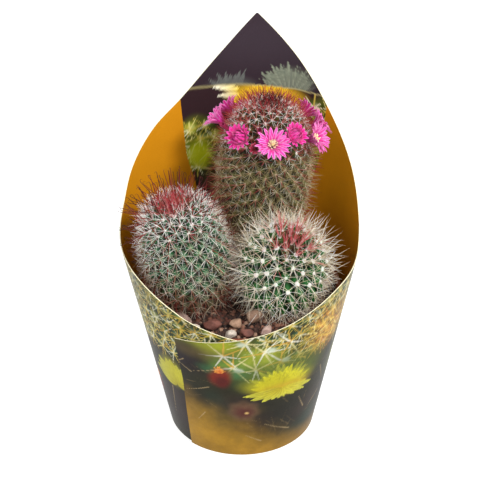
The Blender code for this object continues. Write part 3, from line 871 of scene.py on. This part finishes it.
def random_turns(many, own):
    """Rotation matrices: any turn about Z, then about X, then about Y."""
    spans = (0, 2 * math.pi, "Z"), (-math.pi, math.pi, "X"), (-math.pi, math.pi, "Y")
    made = []
    for _ in range(many):
        z, x, y = (Matrix.Rotation(own.uniform(low, high), 3, axis) for low, high, axis in spans)
        made.append(np.array(z @ x @ y))
    return np.array(made)


# Shares of a spine's length where its rings lie; a hook begins at HOOK_FROM and curls by HOOK_CURL.
RINGS = np.array([0.0, 0.45, 0.8, 1.0])
HOOK_RINGS = np.array([0.0, 0.35, 0.7, 0.86, 0.91, 0.96, 1.0])
HOOK_FROM = 0.86
HOOK_CURL = 2.6


def spine_set(batch, spec, own, sites, first, number, length, lift, radius, bend, hook, colours):
    """Spines round each chosen areole, from one row of SPINES; first numbers their colour bands."""
    place, normal, down, side = sites
    many = len(place) * number
    at = np.repeat(np.arange(len(place)), number)
    turn = 2 * math.pi * np.tile(np.arange(number), len(place)) / number
    turn = turn + own.normal(0, 0.16, many) + np.repeat(own.uniform(0, 0.5, len(place)), number)
    flat = np.cos(turn)[:, None] * down[at] + np.sin(turn)[:, None] * side[at]
    up = own.uniform(*lift, many)[:, None]
    way = unit(normal[at] * up + flat)
    long = own.uniform(*length, many)[:, None, None]
    rings = HOOK_RINGS if hook else RINGS
    along = np.minimum(rings, HOOK_FROM) if hook else rings
    root = place[at] + normal[at] * (spec["rise"] - 0.5)
    lines = root[:, None] + way[:, None] * long * along[None, :, None]
    lines += normal[at][:, None] * bend * long * along[None, :, None] ** 2
    if hook:
        curl = (rings.clip(HOOK_FROM, 1) - HOOK_FROM) / (1 - HOOK_FROM) * HOOK_CURL
        onward, back = np.sin(curl)[None, :, None], (1 - np.cos(curl))[None, :, None]
        lines += hook * (onward * way[:, None] - back * flat[:, None])
    lines = kept_inside(spec, root, lines)
    across = unit(np.cross(way, normal[at]))
    half = radius * np.interp(rings, (0, 0.5, 0.86, 1), (1.0, 0.85, 0.5, 0.16))[None, :]
    stops = np.array([[linear(c) for c in kind] for kind in colours])
    band = own.integers(0, len(colours), many)
    mixed = np.stack([
        np.stack([np.interp(rings, (0, 0.5, 1), kind[:, c]) for c in range(3)], axis=-1) for kind in stops
    ])
    batch.tubes(lines, half, half, across, band + first, mixed[band][:, :, None, :])


def dress(name, spec, groups, wool, seed):
    """All spines and wool of one cactus, from the tables SPINES and WOOL."""
    own = np.random.default_rng(seed)
    place, normal, down, side, share = areoles(spec)
    spines = Batch()
    first = 0
    for low, high, *settings in groups:
        chosen = (share >= low) & (share < high)
        sites = place[chosen], normal[chosen], down[chosen], side[chosen]
        spine_set(spines, spec, own, sites, first, *settings)
        first += len(settings[-1])
    spines.points = [placed(spec, np.concatenate(spines.points)) / MM]
    thorn = Shader(f"{name}_spine", Roughness=0.6, Specular_IOR_Level=0.2)
    thorn.set(thorn.surface, {"Base Color": thorn.tint()})
    ribs = thorn.noise(1800, 2)
    thorn.bump(ribs, 0.2, 0.0001)
    keep(spines.build(f"{name}_spines", [thorn.material]), spec["slot"])
    fluff = Batch()
    for low, high, size, colour in wool:
        chosen = (share >= low) & (share < high)
        many = int(chosen.sum())
        half = size * own.uniform(0.75, 1.2, (many, 1)) * np.array([[1.0, 1.0, 0.75]])
        basis = np.stack([side[chosen], down[chosen], normal[chosen]], axis=2)
        lump = place[chosen] + normal[chosen] * (spec["rise"] - 0.15)
        tint = linear(colour) * own.uniform(0.85, 1.0, (many, 1))
        fluff.lumps(lump, half, tint, 7, 10, basis, rough=0.5, seed=seed + 3)
    fluff.points = [placed(spec, np.concatenate(fluff.points)) / MM]
    wool_look = Shader(
        f"{name}_wool", Roughness=0.95, Sheen_Weight=0.5, Subsurface_Weight=0.3, Subsurface_Scale=0.001
    )
    strand = wool_look.noise(3200, 4)
    colour = wool_look.speckled(wool_look.tint(), strand, 0.7, 1.0, high=0.65)
    wool_look.set(wool_look.surface, {"Base Color": colour})
    wool_look.bump(strand, 0.9, 0.0005)
    keep(fluff.build(f"{name}_wool", [wool_look.material]), spec["slot"])


# Spine colours at root, middle and tip.
CREAM = ((206, 200, 176), (236, 230, 212), (214, 196, 170))
CREAM_BROWN = ((210, 200, 172), (220, 202, 172), (112, 74, 56))
WHITE = ((206, 206, 198), (248, 248, 244), (238, 236, 230))
PINK = ((232, 206, 200), (204, 60, 76), (176, 22, 42))
RED_BROWN = ((120, 56, 48), (72, 22, 22), (34, 10, 12))
RUST = ((196, 150, 120), (150, 58, 48), (96, 26, 26))
ROSE = ((222, 184, 174), (188, 52, 62), (132, 16, 30))
BLUSH = ((244, 226, 220), (226, 124, 130), (186, 44, 60))
CRIMSON = ((214, 160, 150), (168, 34, 46), (92, 14, 22))
HOOK = ((158, 78, 60), (112, 32, 28), (62, 16, 16))
TAN = ((164, 154, 112), (180, 166, 120), (144, 118, 80))
OLD = ((150, 132, 112), (134, 106, 88), (92, 62, 52))
DUST = ((190, 180, 164), (196, 182, 164), (132, 96, 78))


# From and to shares of the skin, counted from the crown; spines on each areole; length and lift off
# the skin (least, most); radius; outward bend; hook; colours.
SPINES = {
    "cactus_front_right": (
        (0.0, 0.035, 16, (7.0, 11.0), (1.6, 6.0), 0.15, 0.08, 0, (BLUSH, ROSE, BLUSH, PINK)),
        (0.035, 0.10, 8, (8.0, 12.0), (0.9, 3.6), 0.13, 0, 0, (CREAM, WHITE, PINK, CREAM_BROWN)),
        (0.02, 0.40, 8, (7.5, 11.5), (0.35, 0.75), 0.10, 0, 0, (CREAM, WHITE, CREAM_BROWN)),
        (0.40, 0.90, 7, (8.5, 13.0), (0.30, 0.95), 0.11, 0, 0, (WHITE, CREAM, CREAM, CREAM_BROWN)),
        (0.03, 0.40, 4, (9.5, 14.5), (0.9, 3.0), 0.13, 0, 0, (CREAM, CREAM, CREAM_BROWN)),
        (0.40, 0.90, 2, (9.0, 13.5), (0.9, 3.0), 0.13, 0, 0, (WHITE, CREAM, CREAM_BROWN)),
        (0.78, 0.97, 4, (11.0, 15.0), (0.5, 1.3), 0.10, 0, 0, (WHITE, CREAM)),
        (0.90, 1.0, 9, (7.0, 11.0), (0.4, 1.0), 0.11, 0, 0, (CREAM_BROWN, OLD, CREAM)),
    ),
    "cactus_front_left": (
        (0.0, 0.035, 12, (3.5, 7.0), (0.5, 2.0), 0.13, 0.05, 0, (PINK, PINK, ROSE, PINK)),
        (0.03, 0.15, 14, (5.0, 8.5), (0.35, 1.5), 0.12, 0, 0, (WHITE, WHITE, WHITE, WHITE, PINK)),
        (0.15, 0.38, 12, (5.0, 8.0), (0.2, 0.9), 0.10, 0, 0, (WHITE, WHITE, CREAM, DUST)),
        (0.38, 0.62, 9, (6.0, 9.5), (0.2, 1.0), 0.085, 0, 0, (WHITE, CREAM, DUST, CREAM_BROWN)),
        (0.62, 1.0, 10, (6.5, 10.0), (0.25, 1.0), 0.095, 0, 0, (DUST, OLD, CREAM_BROWN, RUST, RUST, OLD)),
        (0.01, 0.15, 2, (12.0, 17.0), (1.3, 3.5), 0.27, 0, 1.1, (HOOK, RED_BROWN)),
        (0.15, 0.45, 2, (7.5, 12.0), (1.2, 3.5), 0.20, 0, 1.0, (HOOK, RED_BROWN)),
        (0.45, 1.0, 2, (8.0, 12.0), (1.0, 2.4), 0.13, 0, 0.9, (RUST, OLD, RUST, DUST)),
    ),
    "cactus_tall": (
        (0.0, 0.02, 8, (3.5, 6.0), (1.0, 3.5), 0.16, 0, 0, (RED_BROWN, CRIMSON, RED_BROWN)),
        (0.015, 0.20, 6, (6.0, 9.0), (1.2, 4.0), 0.17, -0.05, 0, (CRIMSON, CRIMSON, RUST, ROSE)),
        (0.01, 0.24, 7, (3.5, 5.0), (0.25, 0.8), 0.105, 0, 0, (WHITE, WHITE, PINK)),
        (0.24, 1.0, 13, (4.2, 6.2), (0.2, 0.75), 0.078, 0, 0, (TAN, CREAM, TAN, TAN)),
        (0.20, 1.0, 4, (6.5, 9.0), (1.6, 4.5), 0.12, 0, 0, (RUST, CRIMSON, RUST, TAN)),
    ),
}
# From and to shares of the skin, half size of a tuft, colour.
WOOL = {
    "cactus_front_right": (
        (0.0, 0.02, 0.8, (236, 226, 216)), (0.02, 0.10, 1.10, (252, 251, 249)),
        (0.10, 0.30, 1.10, (250, 249, 246)), (0.30, 0.48, 0.80, (226, 222, 210)),
        (0.48, 0.85, 0.55, (196, 190, 170)),
    ),
    "cactus_front_left": (
        (0.0, 0.03, 0.5, (232, 200, 196)), (0.03, 0.16, 0.85, (250, 249, 247)),
        (0.16, 0.5, 0.40, (214, 196, 190)), (0.5, 1.0, 0.36, (168, 150, 132)),
    ),
    "cactus_tall": (
        (0.0, 0.02, 0.5, (190, 150, 130)), (0.02, 0.22, 0.8, (244, 240, 234)),
        (0.22, 1.0, 0.45, (196, 184, 156)),
    ),
}


def cacti():
    for name, spec in CACTI.items():
        keep(cactus_skin(name, spec), spec["slot"], name)
    for seed, (name, spec) in enumerate(CACTI.items(), 31):
        dress(name, spec, SPINES[name], WOOL[name], seed)


# ---------------------------------------------------------------- flowers

UNIT = 1.0021  # the plants' scale in the CAD
# direction round the plant, share of its height, rise in degrees, opening 0 to 1, length
FLOWERS = (
    (-98, 0.845, 34, 0.85, 9.2), (-127, 0.855, 36, 0.80, 8.8), (-155, 0.815, 24, 0.70, 8.5),
    (-34, 0.860, 30, 0.60, 9.0), (3, 0.850, 34, 1.0, 9.5), (28, 0.885, 40, 0.55, 8.8),
    (62, 0.850, 28, 0.95, 9.2), (100, 0.855, 34, 0.90, 9.0), (131, 0.860, 36, 0.80, 8.8),
    (161, 0.815, 24, 0.75, 8.5), (-176, 0.785, 18, 0.65, 8.5),
)
BUDS = ((-15, 0.905, 54, 0.0, 5.0), (-72, 0.860, 40, 0.0, 6.0), (146, 0.780, 15, 0.0, 5.5))
SPENT = (-16, 0.835, 20, 0.25, 5.0)
HALF_OPEN = 0.7  # below this opening a flower is a cup and shows no stamens
# By kind: colours deep, bright and pale; length against the flower's own; then the rings of petals,
# outermost first: how many, opening and length as shares, half width, start angle, texture band,
# gather, belly, and the number of the colour that edges the petals.
PETALS = {
    "open": (((168, 4, 100), (214, 14, 140), (252, 140, 212)), 1.28, (
        (17, 1.0, 1.0, 1.06, 0.0, 1, 0.24, 0, 2), (15, 0.84, 1.0, 0.95, 0.2, 2, 0.24, 0, 2),
        (13, 0.66, 0.92, 0.88, 0.1, 3, 0.24, 0, 2), (10, 0.5, 0.78, 0.7, 0.25, 3, 0.24, 0, 1),
    )),
    "half": (((150, 0, 88), (214, 6, 134), (244, 84, 184)), 1.45, (
        (15, 1.30, 0.88, 1.08, 0.0, 1, 0.24, 0.02, 2), (13, 0.85, 0.92, 1.02, 0.21, 2, 0.20, 0.06, 2),
        (11, 0.45, 0.97, 0.95, 0.42, 3, 0.13, 0.11, 2), (9, 0.14, 1.02, 0.86, 0.63, 1, 0.07, 0.12, 2),
        (6, 0.0, 1.03, 0.80, 0.84, 2, 0.035, 0.08, 2),
    )),
    "bud": (((96, 10, 36), (150, 14, 66), (176, 40, 92)), 1.0, (
        (7, 0.05, 1.0, 1.15, 0.0, 1, 0.24, 0, 1), (5, 0.0, 1.02, 0.9, 0.3, 2, 0.24, 0, 2),
    )),
    "spent": (((140, 16, 50), (214, 34, 92), (244, 150, 160)), 1.0, (
        (9, 0.55, 1.2, 0.85, 0.0, 1, 0.24, 0, 2), (8, 0.30, 1.1, 0.75, 0.4, 2, 0.24, 0, 0),
    )),
}


def spokes(angle):
    """Directions outwards and across at angles round a flower."""
    out = np.stack([np.cos(angle), np.sin(angle), 0 * angle], axis=-1)
    across = np.stack([-np.sin(angle), np.cos(angle), 0 * angle], axis=-1)
    return out, across


def flower_place(spec, degrees, share, rise):
    """Root and turn of a flower on the body, in the body's own millimetres."""
    radius, height = outline(spec, swell=spec["rise"] * 0.9)
    level = share * spec["height"]
    reach = np.interp(level, height[::-1], radius[::-1])
    angle, up = math.radians(degrees), math.radians(rise)
    out = np.array([math.sin(angle), -math.cos(angle), 0.0])
    way = out * math.cos(up) + UP * math.sin(up)
    turn = np.array(Vector((0, 0, 1)).rotation_difference(Vector(way)).to_matrix())
    return out * reach + UP * level, turn


def petals(batch, own, number, opening, length, size, start, colours, band, gather, belly):
    """A ring of pointed petals, cupped across and curled outwards with the opening. A small
    gather brings the tips together, and a belly swells the ring at its middle."""
    rings = 8
    t = np.linspace(0, 1, rings)[None, :]
    angle = start + 2 * math.pi * (np.arange(number) + own.uniform(-0.12, 0.12, number)) / number
    tip = (gather + 0.50 * opening) * length * own.uniform(0.88, 1.08, (number, 1))
    top = length * (1.02 - 0.20 * opening) * own.uniform(0.88, 1.06, (number, 1))
    foot, low = min(1.15, 5 * gather), 0.20 * length
    radius = foot + (tip - foot) * t ** (0.75 + 0.55 * opening) + belly * length * np.sin(math.pi * t)
    height = low + (top - low) * (1 - (1 - t) ** (1.1 + 0.7 * opening))
    out, across = spokes(angle)
    lines = out[:, None] * radius[..., None] + UP * height[..., None]
    half = size * (0.30 + 0.70 * np.sin(math.pi * t**0.85).clip(0, 1) ** 0.8)
    half = half * (1 - smooth(0.86, 1.0, t) * 0.86)
    sides = 10
    around = np.abs(np.cos(2 * math.pi * np.arange(sides) / sides))[None, None, :, None]
    root, middle, edge = (linear(c) for c in colours)
    shade = middle + (root - middle) * (1 - smooth(0.0, 0.35, t))[..., None, None]
    shade = shade + (edge - shade) * smooth(0.45, 1.0, around) * smooth(0.05, 0.4, t)[..., None, None]
    thick = 0.13 * (1 - 0.6 * t)
    batch.tubes(lines, half, thick, across, np.full(number, band), shade, sides=sides, cup=0.30)


def stamens(batch, own, opening, length):
    """A ring of stamens with their anthers, and a style with five lobes."""
    many = 44
    angle = own.uniform(0, 2 * math.pi, many)
    spread = own.uniform(0.2, 1.0, many) ** 0.7 * (0.7 + 1.5 * opening)
    reach = length * own.uniform(0.66, 0.86, many)
    rings = np.array([0.0, 0.4, 0.8, 1.0])
    out, across = spokes(angle)
    lines = out[:, None] * (0.5 + (spread[:, None] - 0.2) * rings**1.3)[..., None]
    lines = lines + UP * (0.3 * length + (reach[:, None] - 0.3 * length) * rings)[..., None]
    fade = (226, 140, 180), (246, 206, 214), (252, 240, 220), (254, 246, 216)
    filament = np.array([linear(c) for c in fade])[None, :, None, :]
    batch.tubes(lines, 0.085, 0.085, across, np.full(many, 4), filament, slot=2)
    batch.lumps(lines[:, -1], np.full((many, 3), 0.27) * (1, 1, 1.2), linear((254, 244, 200)), 5, 6, slot=2)
    lobes = 5
    rings = np.array([0.0, 0.5, 1.0])
    out, across = spokes(2 * math.pi * np.arange(lobes) / lobes)
    lines = UP * 0.74 * length + out[:, None] * rings[None, :, None] + UP * 0.7 * (rings**0.6)[None, :, None]
    batch.tubes(lines, 0.17, 0.17, across, np.full(lobes, 5), linear((240, 214, 150)), sides=5, slot=2)
    style = UP * (np.array([0.3, 0.55, 0.75]) * length)[None, :, None]
    batch.tubes(style, 0.2, 0.2, np.array([[1.0, 0, 0]]), [6], linear((236, 190, 170)), sides=6, slot=2)


def bloom(name, node, spec, place, materials, number, kind):
    degrees, share, rise, opening, length = place
    root, turn = flower_place(spec, degrees, share, rise)
    own = np.random.default_rng(200 + number)
    batch = Batch()
    length = length * UNIT
    colours, scale, rings = PETALS[kind]
    shift = own.uniform(-8, 8)
    deep, bright, pale = (np.clip(np.array(c) + shift, 0, 255) for c in colours)
    steps = np.linspace(0, 1, 6)
    throat = 1.9 if opening > 0.2 else 1.3
    stalk = UP * (steps * 0.42 * length - 1.4)[None, :, None]
    wide = np.interp(steps, (0, 0.3, 0.8, 1), (1.0, 0.95, throat * 0.85, throat * 0.9))[None, :]
    batch.tubes(stalk, wide, wide, np.array([[1.0, 0, 0]]), [0], linear((150, 96, 84)), sides=12, slot=1)
    spread = opening if kind in ("open", "half") else 1.0
    for many, share_open, share_long, half, start, band, gather, belly, edge in rings:
        look = deep, bright, (deep, bright, pale)[edge]
        petals(
            batch, own, many, spread * share_open, length * scale * share_long, half, start, look, band,
            gather, belly,
        )
    if kind == "open":
        stamens(batch, own, opening, length)
    flat = np.concatenate(batch.points) @ turn.T + root
    batch.points = [placed(spec, flat) / MM]
    keep(batch.build(name, materials), "buds" if kind == "bud" else "petals", node)


def flowers():
    petal = Shader("petal", Roughness=0.42, Subsurface_Weight=0.35, Subsurface_Scale=0.0012, Sheen_Weight=0.2)
    vein = petal.add("TexWave", Scale=5.0, Distortion=2.0, Detail=2.0, Vector=petal.uv())
    grain = petal.noise(1500, 3)
    petal.set(petal.surface, {
        "Base Color": petal.speckled(petal.tint(), grain, 0.84, 1.08),
        "Subsurface Radius": (1.0, 0.3, 0.5),
    })
    ridges = petal.math("MULTIPLY", petal.add("RGBToBW", Color=vein), 0.4)
    petal.bump(petal.math("ADD", ridges, grain), 0.25, 0.0002)
    tube = Shader("flower_tube", Roughness=0.5, Subsurface_Weight=0.2, Subsurface_Scale=0.001)
    scales = tube.ramp(tube.noise(400), (0.3, (0.25, 0.12, 0.1)), (0.7, (0.5, 0.3, 0.2)))
    tube.set(tube.surface, {"Base Color": tube.mix(0.6, tube.tint(), scales)})
    stamen = Shader("stamen", Roughness=0.55, Subsurface_Weight=0.2, Subsurface_Scale=0.0005)
    stamen.set(stamen.surface, {"Base Color": stamen.tint()})
    stamen.bump(stamen.noise(4000), 0.4, 0.0001)
    looks = [petal.material, tube.material, stamen.material]
    spec = CACTI["cactus_tall"]
    for k, place in enumerate(FLOWERS, 1):
        kind = "half" if place[3] < HALF_OPEN else "open"
        bloom(f"bloom_{k:02d}", f"flower_{k:02d}", spec, place, looks, k, kind)
    for k, place in enumerate(BUDS, 1):
        bloom(f"closed_bloom_{k}", f"flower_bud_{k}", spec, place, looks, 20 + k, "bud")
    bloom("dried_bloom", "spent_flower", spec, SPENT, looks, 30, "spent")


# ---------------------------------------------------------------- stones, grit, pot and soil

# turn in degrees, then length, width and height in millimetres; places come from the CAD
STONES = (
    (-1, 8.4, 6.4, 5.6), (-1, 9.6, 7.0, 6.4), (-39, 10.0, 5.2, 4.2), (33, 5.6, 5.0, 4.2),
    (4, 5.8, 4.6, 4.4), (55, 6.4, 5.6, 5.0), (27, 6.2, 5.0, 4.6), (-31, 4.8, 4.4, 4.0),
    (-57, 6.6, 4.4, 4.4), (58, 6.4, 4.6, 4.6), (110, 7.4, 5.6, 5.0), (-70, 7.6, 6.2, 5.0),
    (-78, 8.4, 6.6, 5.4), (-150, 6.2, 5.2, 4.6), (140, 7.0, 5.4, 4.8),
)
STONE_SWELL = 1.04  # covers the CAD's blocks
STONE_LOOKS = (
    ("stone_red", (90, 52, 44), (132, 82, 70)), ("stone_tan", (138, 106, 88), (184, 150, 126)),
    ("stone_pink_grey", (140, 112, 104), (186, 160, 150)), ("stone_pale", (150, 138, 126), (204, 194, 182)),
)


def stone_material(name, dark, light):
    rock = Shader(name, Roughness=0.75)
    coarse = rock.noise(190, 5, 0.6)
    fine = rock.noise(2400, 4, 0.7)
    body = rock.ramp(coarse, (0.35, linear(dark)), (0.65, linear(light)))
    colour = rock.speckled(body, fine, (0.72, 0.70, 0.68), 1.1, 0.35, 0.65)
    rock.set(rock.surface, {"Base Color": colour})
    rock.bump(rock.math("MULTIPLY_ADD", coarse, 2.5, fine), 0.5, 0.0004)
    return rock.material


def stones():
    looks = [stone_material(*look) for look in STONE_LOOKS]
    for k, (turn, length, width, height) in enumerate(STONES):
        low, high = (np.array(v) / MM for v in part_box(f"stone_{k + 1:02d}"))
        centre = (low + high) / 2
        spin = np.array(Matrix.Rotation(math.radians(turn), 3, "Z"))
        batch = Batch()
        batch.lumps(
            centre[None], np.array([[length, width, height]]) / 2 * STONE_SWELL, (1, 1, 1), 28, 40,
            spin[None], facets=16, edge=11, rough=0.10, seed=60 + k,
        )
        name, material = STONE_LOOKS[k % 4][0], looks[k % 4]
        keep(batch.build(f"pebble_{k + 1:02d}", [material]), name, f"stone_{k + 1:02d}")


POT_FILL = 48.6  # radius of the pot's inside at the top of the grit
GRAIN_SPACING = 2.15
GRAIN_MARGIN = 0.9  # keeps grains off the pot's wall
GRAIN_COLOURS = (
    (88, 54, 42), (112, 68, 52), (70, 44, 36), (132, 90, 72),
    (76, 56, 48), (156, 122, 102), (98, 54, 42), (54, 38, 34),
)


def grit():
    """Loose grains over the top of the grit, in one layer."""
    own = np.random.default_rng(77)
    row = np.arange(-POT_FILL, POT_FILL, GRAIN_SPACING)
    grid = np.stack(np.meshgrid(row, row), -1).reshape(-1, 2)
    grid = grid + own.uniform(-0.8, 0.8, grid.shape)
    grid = grid[np.hypot(*grid.T) < POT_FILL - GRAIN_MARGIN]
    inside = np.zeros(len(grid), bool)
    for spec in CACTI.values():
        inside |= np.hypot(*(grid - spec["foot"][:2]).T) < spec["radius"] * 0.62
    grid = grid[~inside]
    many = len(grid)
    size = own.uniform(0.8, 1.7, (many, 1)) * own.uniform(0.7, 1.15, (many, 3))
    level = GRIT_TOP / MM - 0.35 + own.uniform(-0.5, 0.5, many)
    places = np.column_stack([grid, level])
    lot = np.array([linear(c) for c in GRAIN_COLOURS])
    tint = lot[own.integers(0, len(lot), many)] * own.uniform(0.8, 1.15, (many, 1))
    batch = Batch()
    batch.lumps(places, size, tint, 6, 9, random_turns(many, own), facets=9, edge=16, seed=78)
    grain = Shader("grit_grain", Roughness=0.85)
    fine = grain.noise(2600, 4, 0.7)
    grain.set(grain.surface, {"Base Color": grain.speckled(grain.tint(), fine, 0.7, 1.15)})
    grain.bump(fine, 0.6, 0.0003)
    keep(batch.build("grit_grains", [grain.material]), "grit")


def finish_node(name, look):
    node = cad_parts[name]
    if not node.material_slots:
        node.data.materials.append(look)
    for slot in node.material_slots:
        slot.material = look


def pot_and_ground():
    pot = Shader("pot_plastic", Roughness=0.38, IOR=1.49)
    cloud = pot.noise(55, 4)
    grain = pot.noise(1800, 3)
    pot.set(pot.surface, {
        "Base Color": pot.ramp(cloud, (0.3, linear((112, 58, 40))), (0.7, linear((136, 74, 52)))),
        "Roughness": pot.math("MULTIPLY_ADD", cloud, 0.2, 0.3),
    })
    pot.bump(grain, 0.15, 0.0002)
    finish_node("nursery_pot", pot.material)
    for name, dark, light in (
        ("potting_soil", (34, 22, 16), (82, 58, 40)), ("grit_layer", (40, 26, 22), (98, 64, 50)),
    ):
        earth = Shader(name, Roughness=0.95)
        cell = earth.add("TexVoronoi", Vector=earth.place(), Scale=520.0)
        fine = earth.noise(900, 5, 0.65)
        lumps = earth.math("MULTIPLY_ADD", cell, 0.5, earth.math("MULTIPLY", fine, 0.6))
        colour = earth.ramp(lumps, (0.25, linear(light)), (0.7, linear(dark)))
        earth.set(earth.surface, {"Base Color": colour})
        earth.bump(earth.math("SUBTRACT", fine, cell), 0.9, 0.0012)
        finish_node(name, earth.material)


# ---------------------------------------------------------------- stage

LIT_POINT = (0, 0, 0.1)
# place in metres, power in watts, size in metres, colour
LIGHTS = (
    ("key", (0.55, -0.60, 0.95), 14.5, 0.22, (1.0, 0.97, 0.92)),
    ("fill", (-0.7, -0.5, 0.6), 2.0, 0.6, (0.95, 0.97, 1.0)),
)


def area_light(name, place, power, size, colour):
    lamp = bpy.data.lights.new(name, "AREA")
    lamp.energy, lamp.size, lamp.color = power, size, colour
    light = bpy.data.objects.new(name, lamp)
    light.location = place
    light.rotation_euler = (Vector(LIT_POINT) - Vector(place)).to_track_quat("-Z", "Y").to_euler()
    bpy.context.scene.collection.objects.link(light)


def studio():
    floor = make_mesh(
        "floor", np.array([(-3, -3, 0), (3, -3, 0), (3, 3, 0), (-3, 3, 0)], float) - (0, 0, 0.0002),
        [np.array([[0, 1, 2, 3]])], [],
    )
    paper = Shader(
        "floor_white", Base_Color=(0.35, 0.35, 0.35), Roughness=0.95, Specular_IOR_Level=0.0,
        Emission_Color=(1.0, 1.0, 1.0), Emission_Strength=0.92,
    )
    floor.data.materials.append(paper.material)
    world = bpy.data.worlds.new("white")
    world.use_nodes = True
    sky = world.node_tree.nodes["Background"]
    sky.inputs[0].default_value = (1, 1, 1, 1)
    sky.inputs[1].default_value = 1.15
    scene = bpy.context.scene
    scene.world = world
    scene.view_settings.view_transform = "Standard"
    scene.view_settings.look = "None"
    scene.view_settings.exposure = -0.2
    for light in LIGHTS:
        area_light(*light)


def camera():
    """Stands where the photograph's camera stood: fitted distance in metres and angles in radians."""
    target, distance, pitch, roll = Vector((-0.00037, 0, 0.10914)), 0.8, 0.54673, -0.00797
    back = Vector((0, -math.cos(pitch), math.sin(pitch)))
    right, up = Vector((1, 0, 0)), Vector((0, math.sin(pitch), math.cos(pitch)))
    x_axis = math.cos(roll) * right + math.sin(roll) * up
    y_axis = math.cos(roll) * up - math.sin(roll) * right
    lens = bpy.data.cameras.new("camera")
    lens.lens, lens.sensor_width = 116.84, 36
    eye = bpy.data.objects.new("camera", lens)
    matrix = Matrix((x_axis, y_axis, back)).transposed().to_4x4()
    matrix.translation = target + back * distance
    eye.matrix_world = matrix
    bpy.context.scene.collection.objects.link(eye)
    bpy.context.scene.camera = eye


camera()
studio()
pot_and_ground()
sleeve()
cacti()
flowers()
stones()
grit()
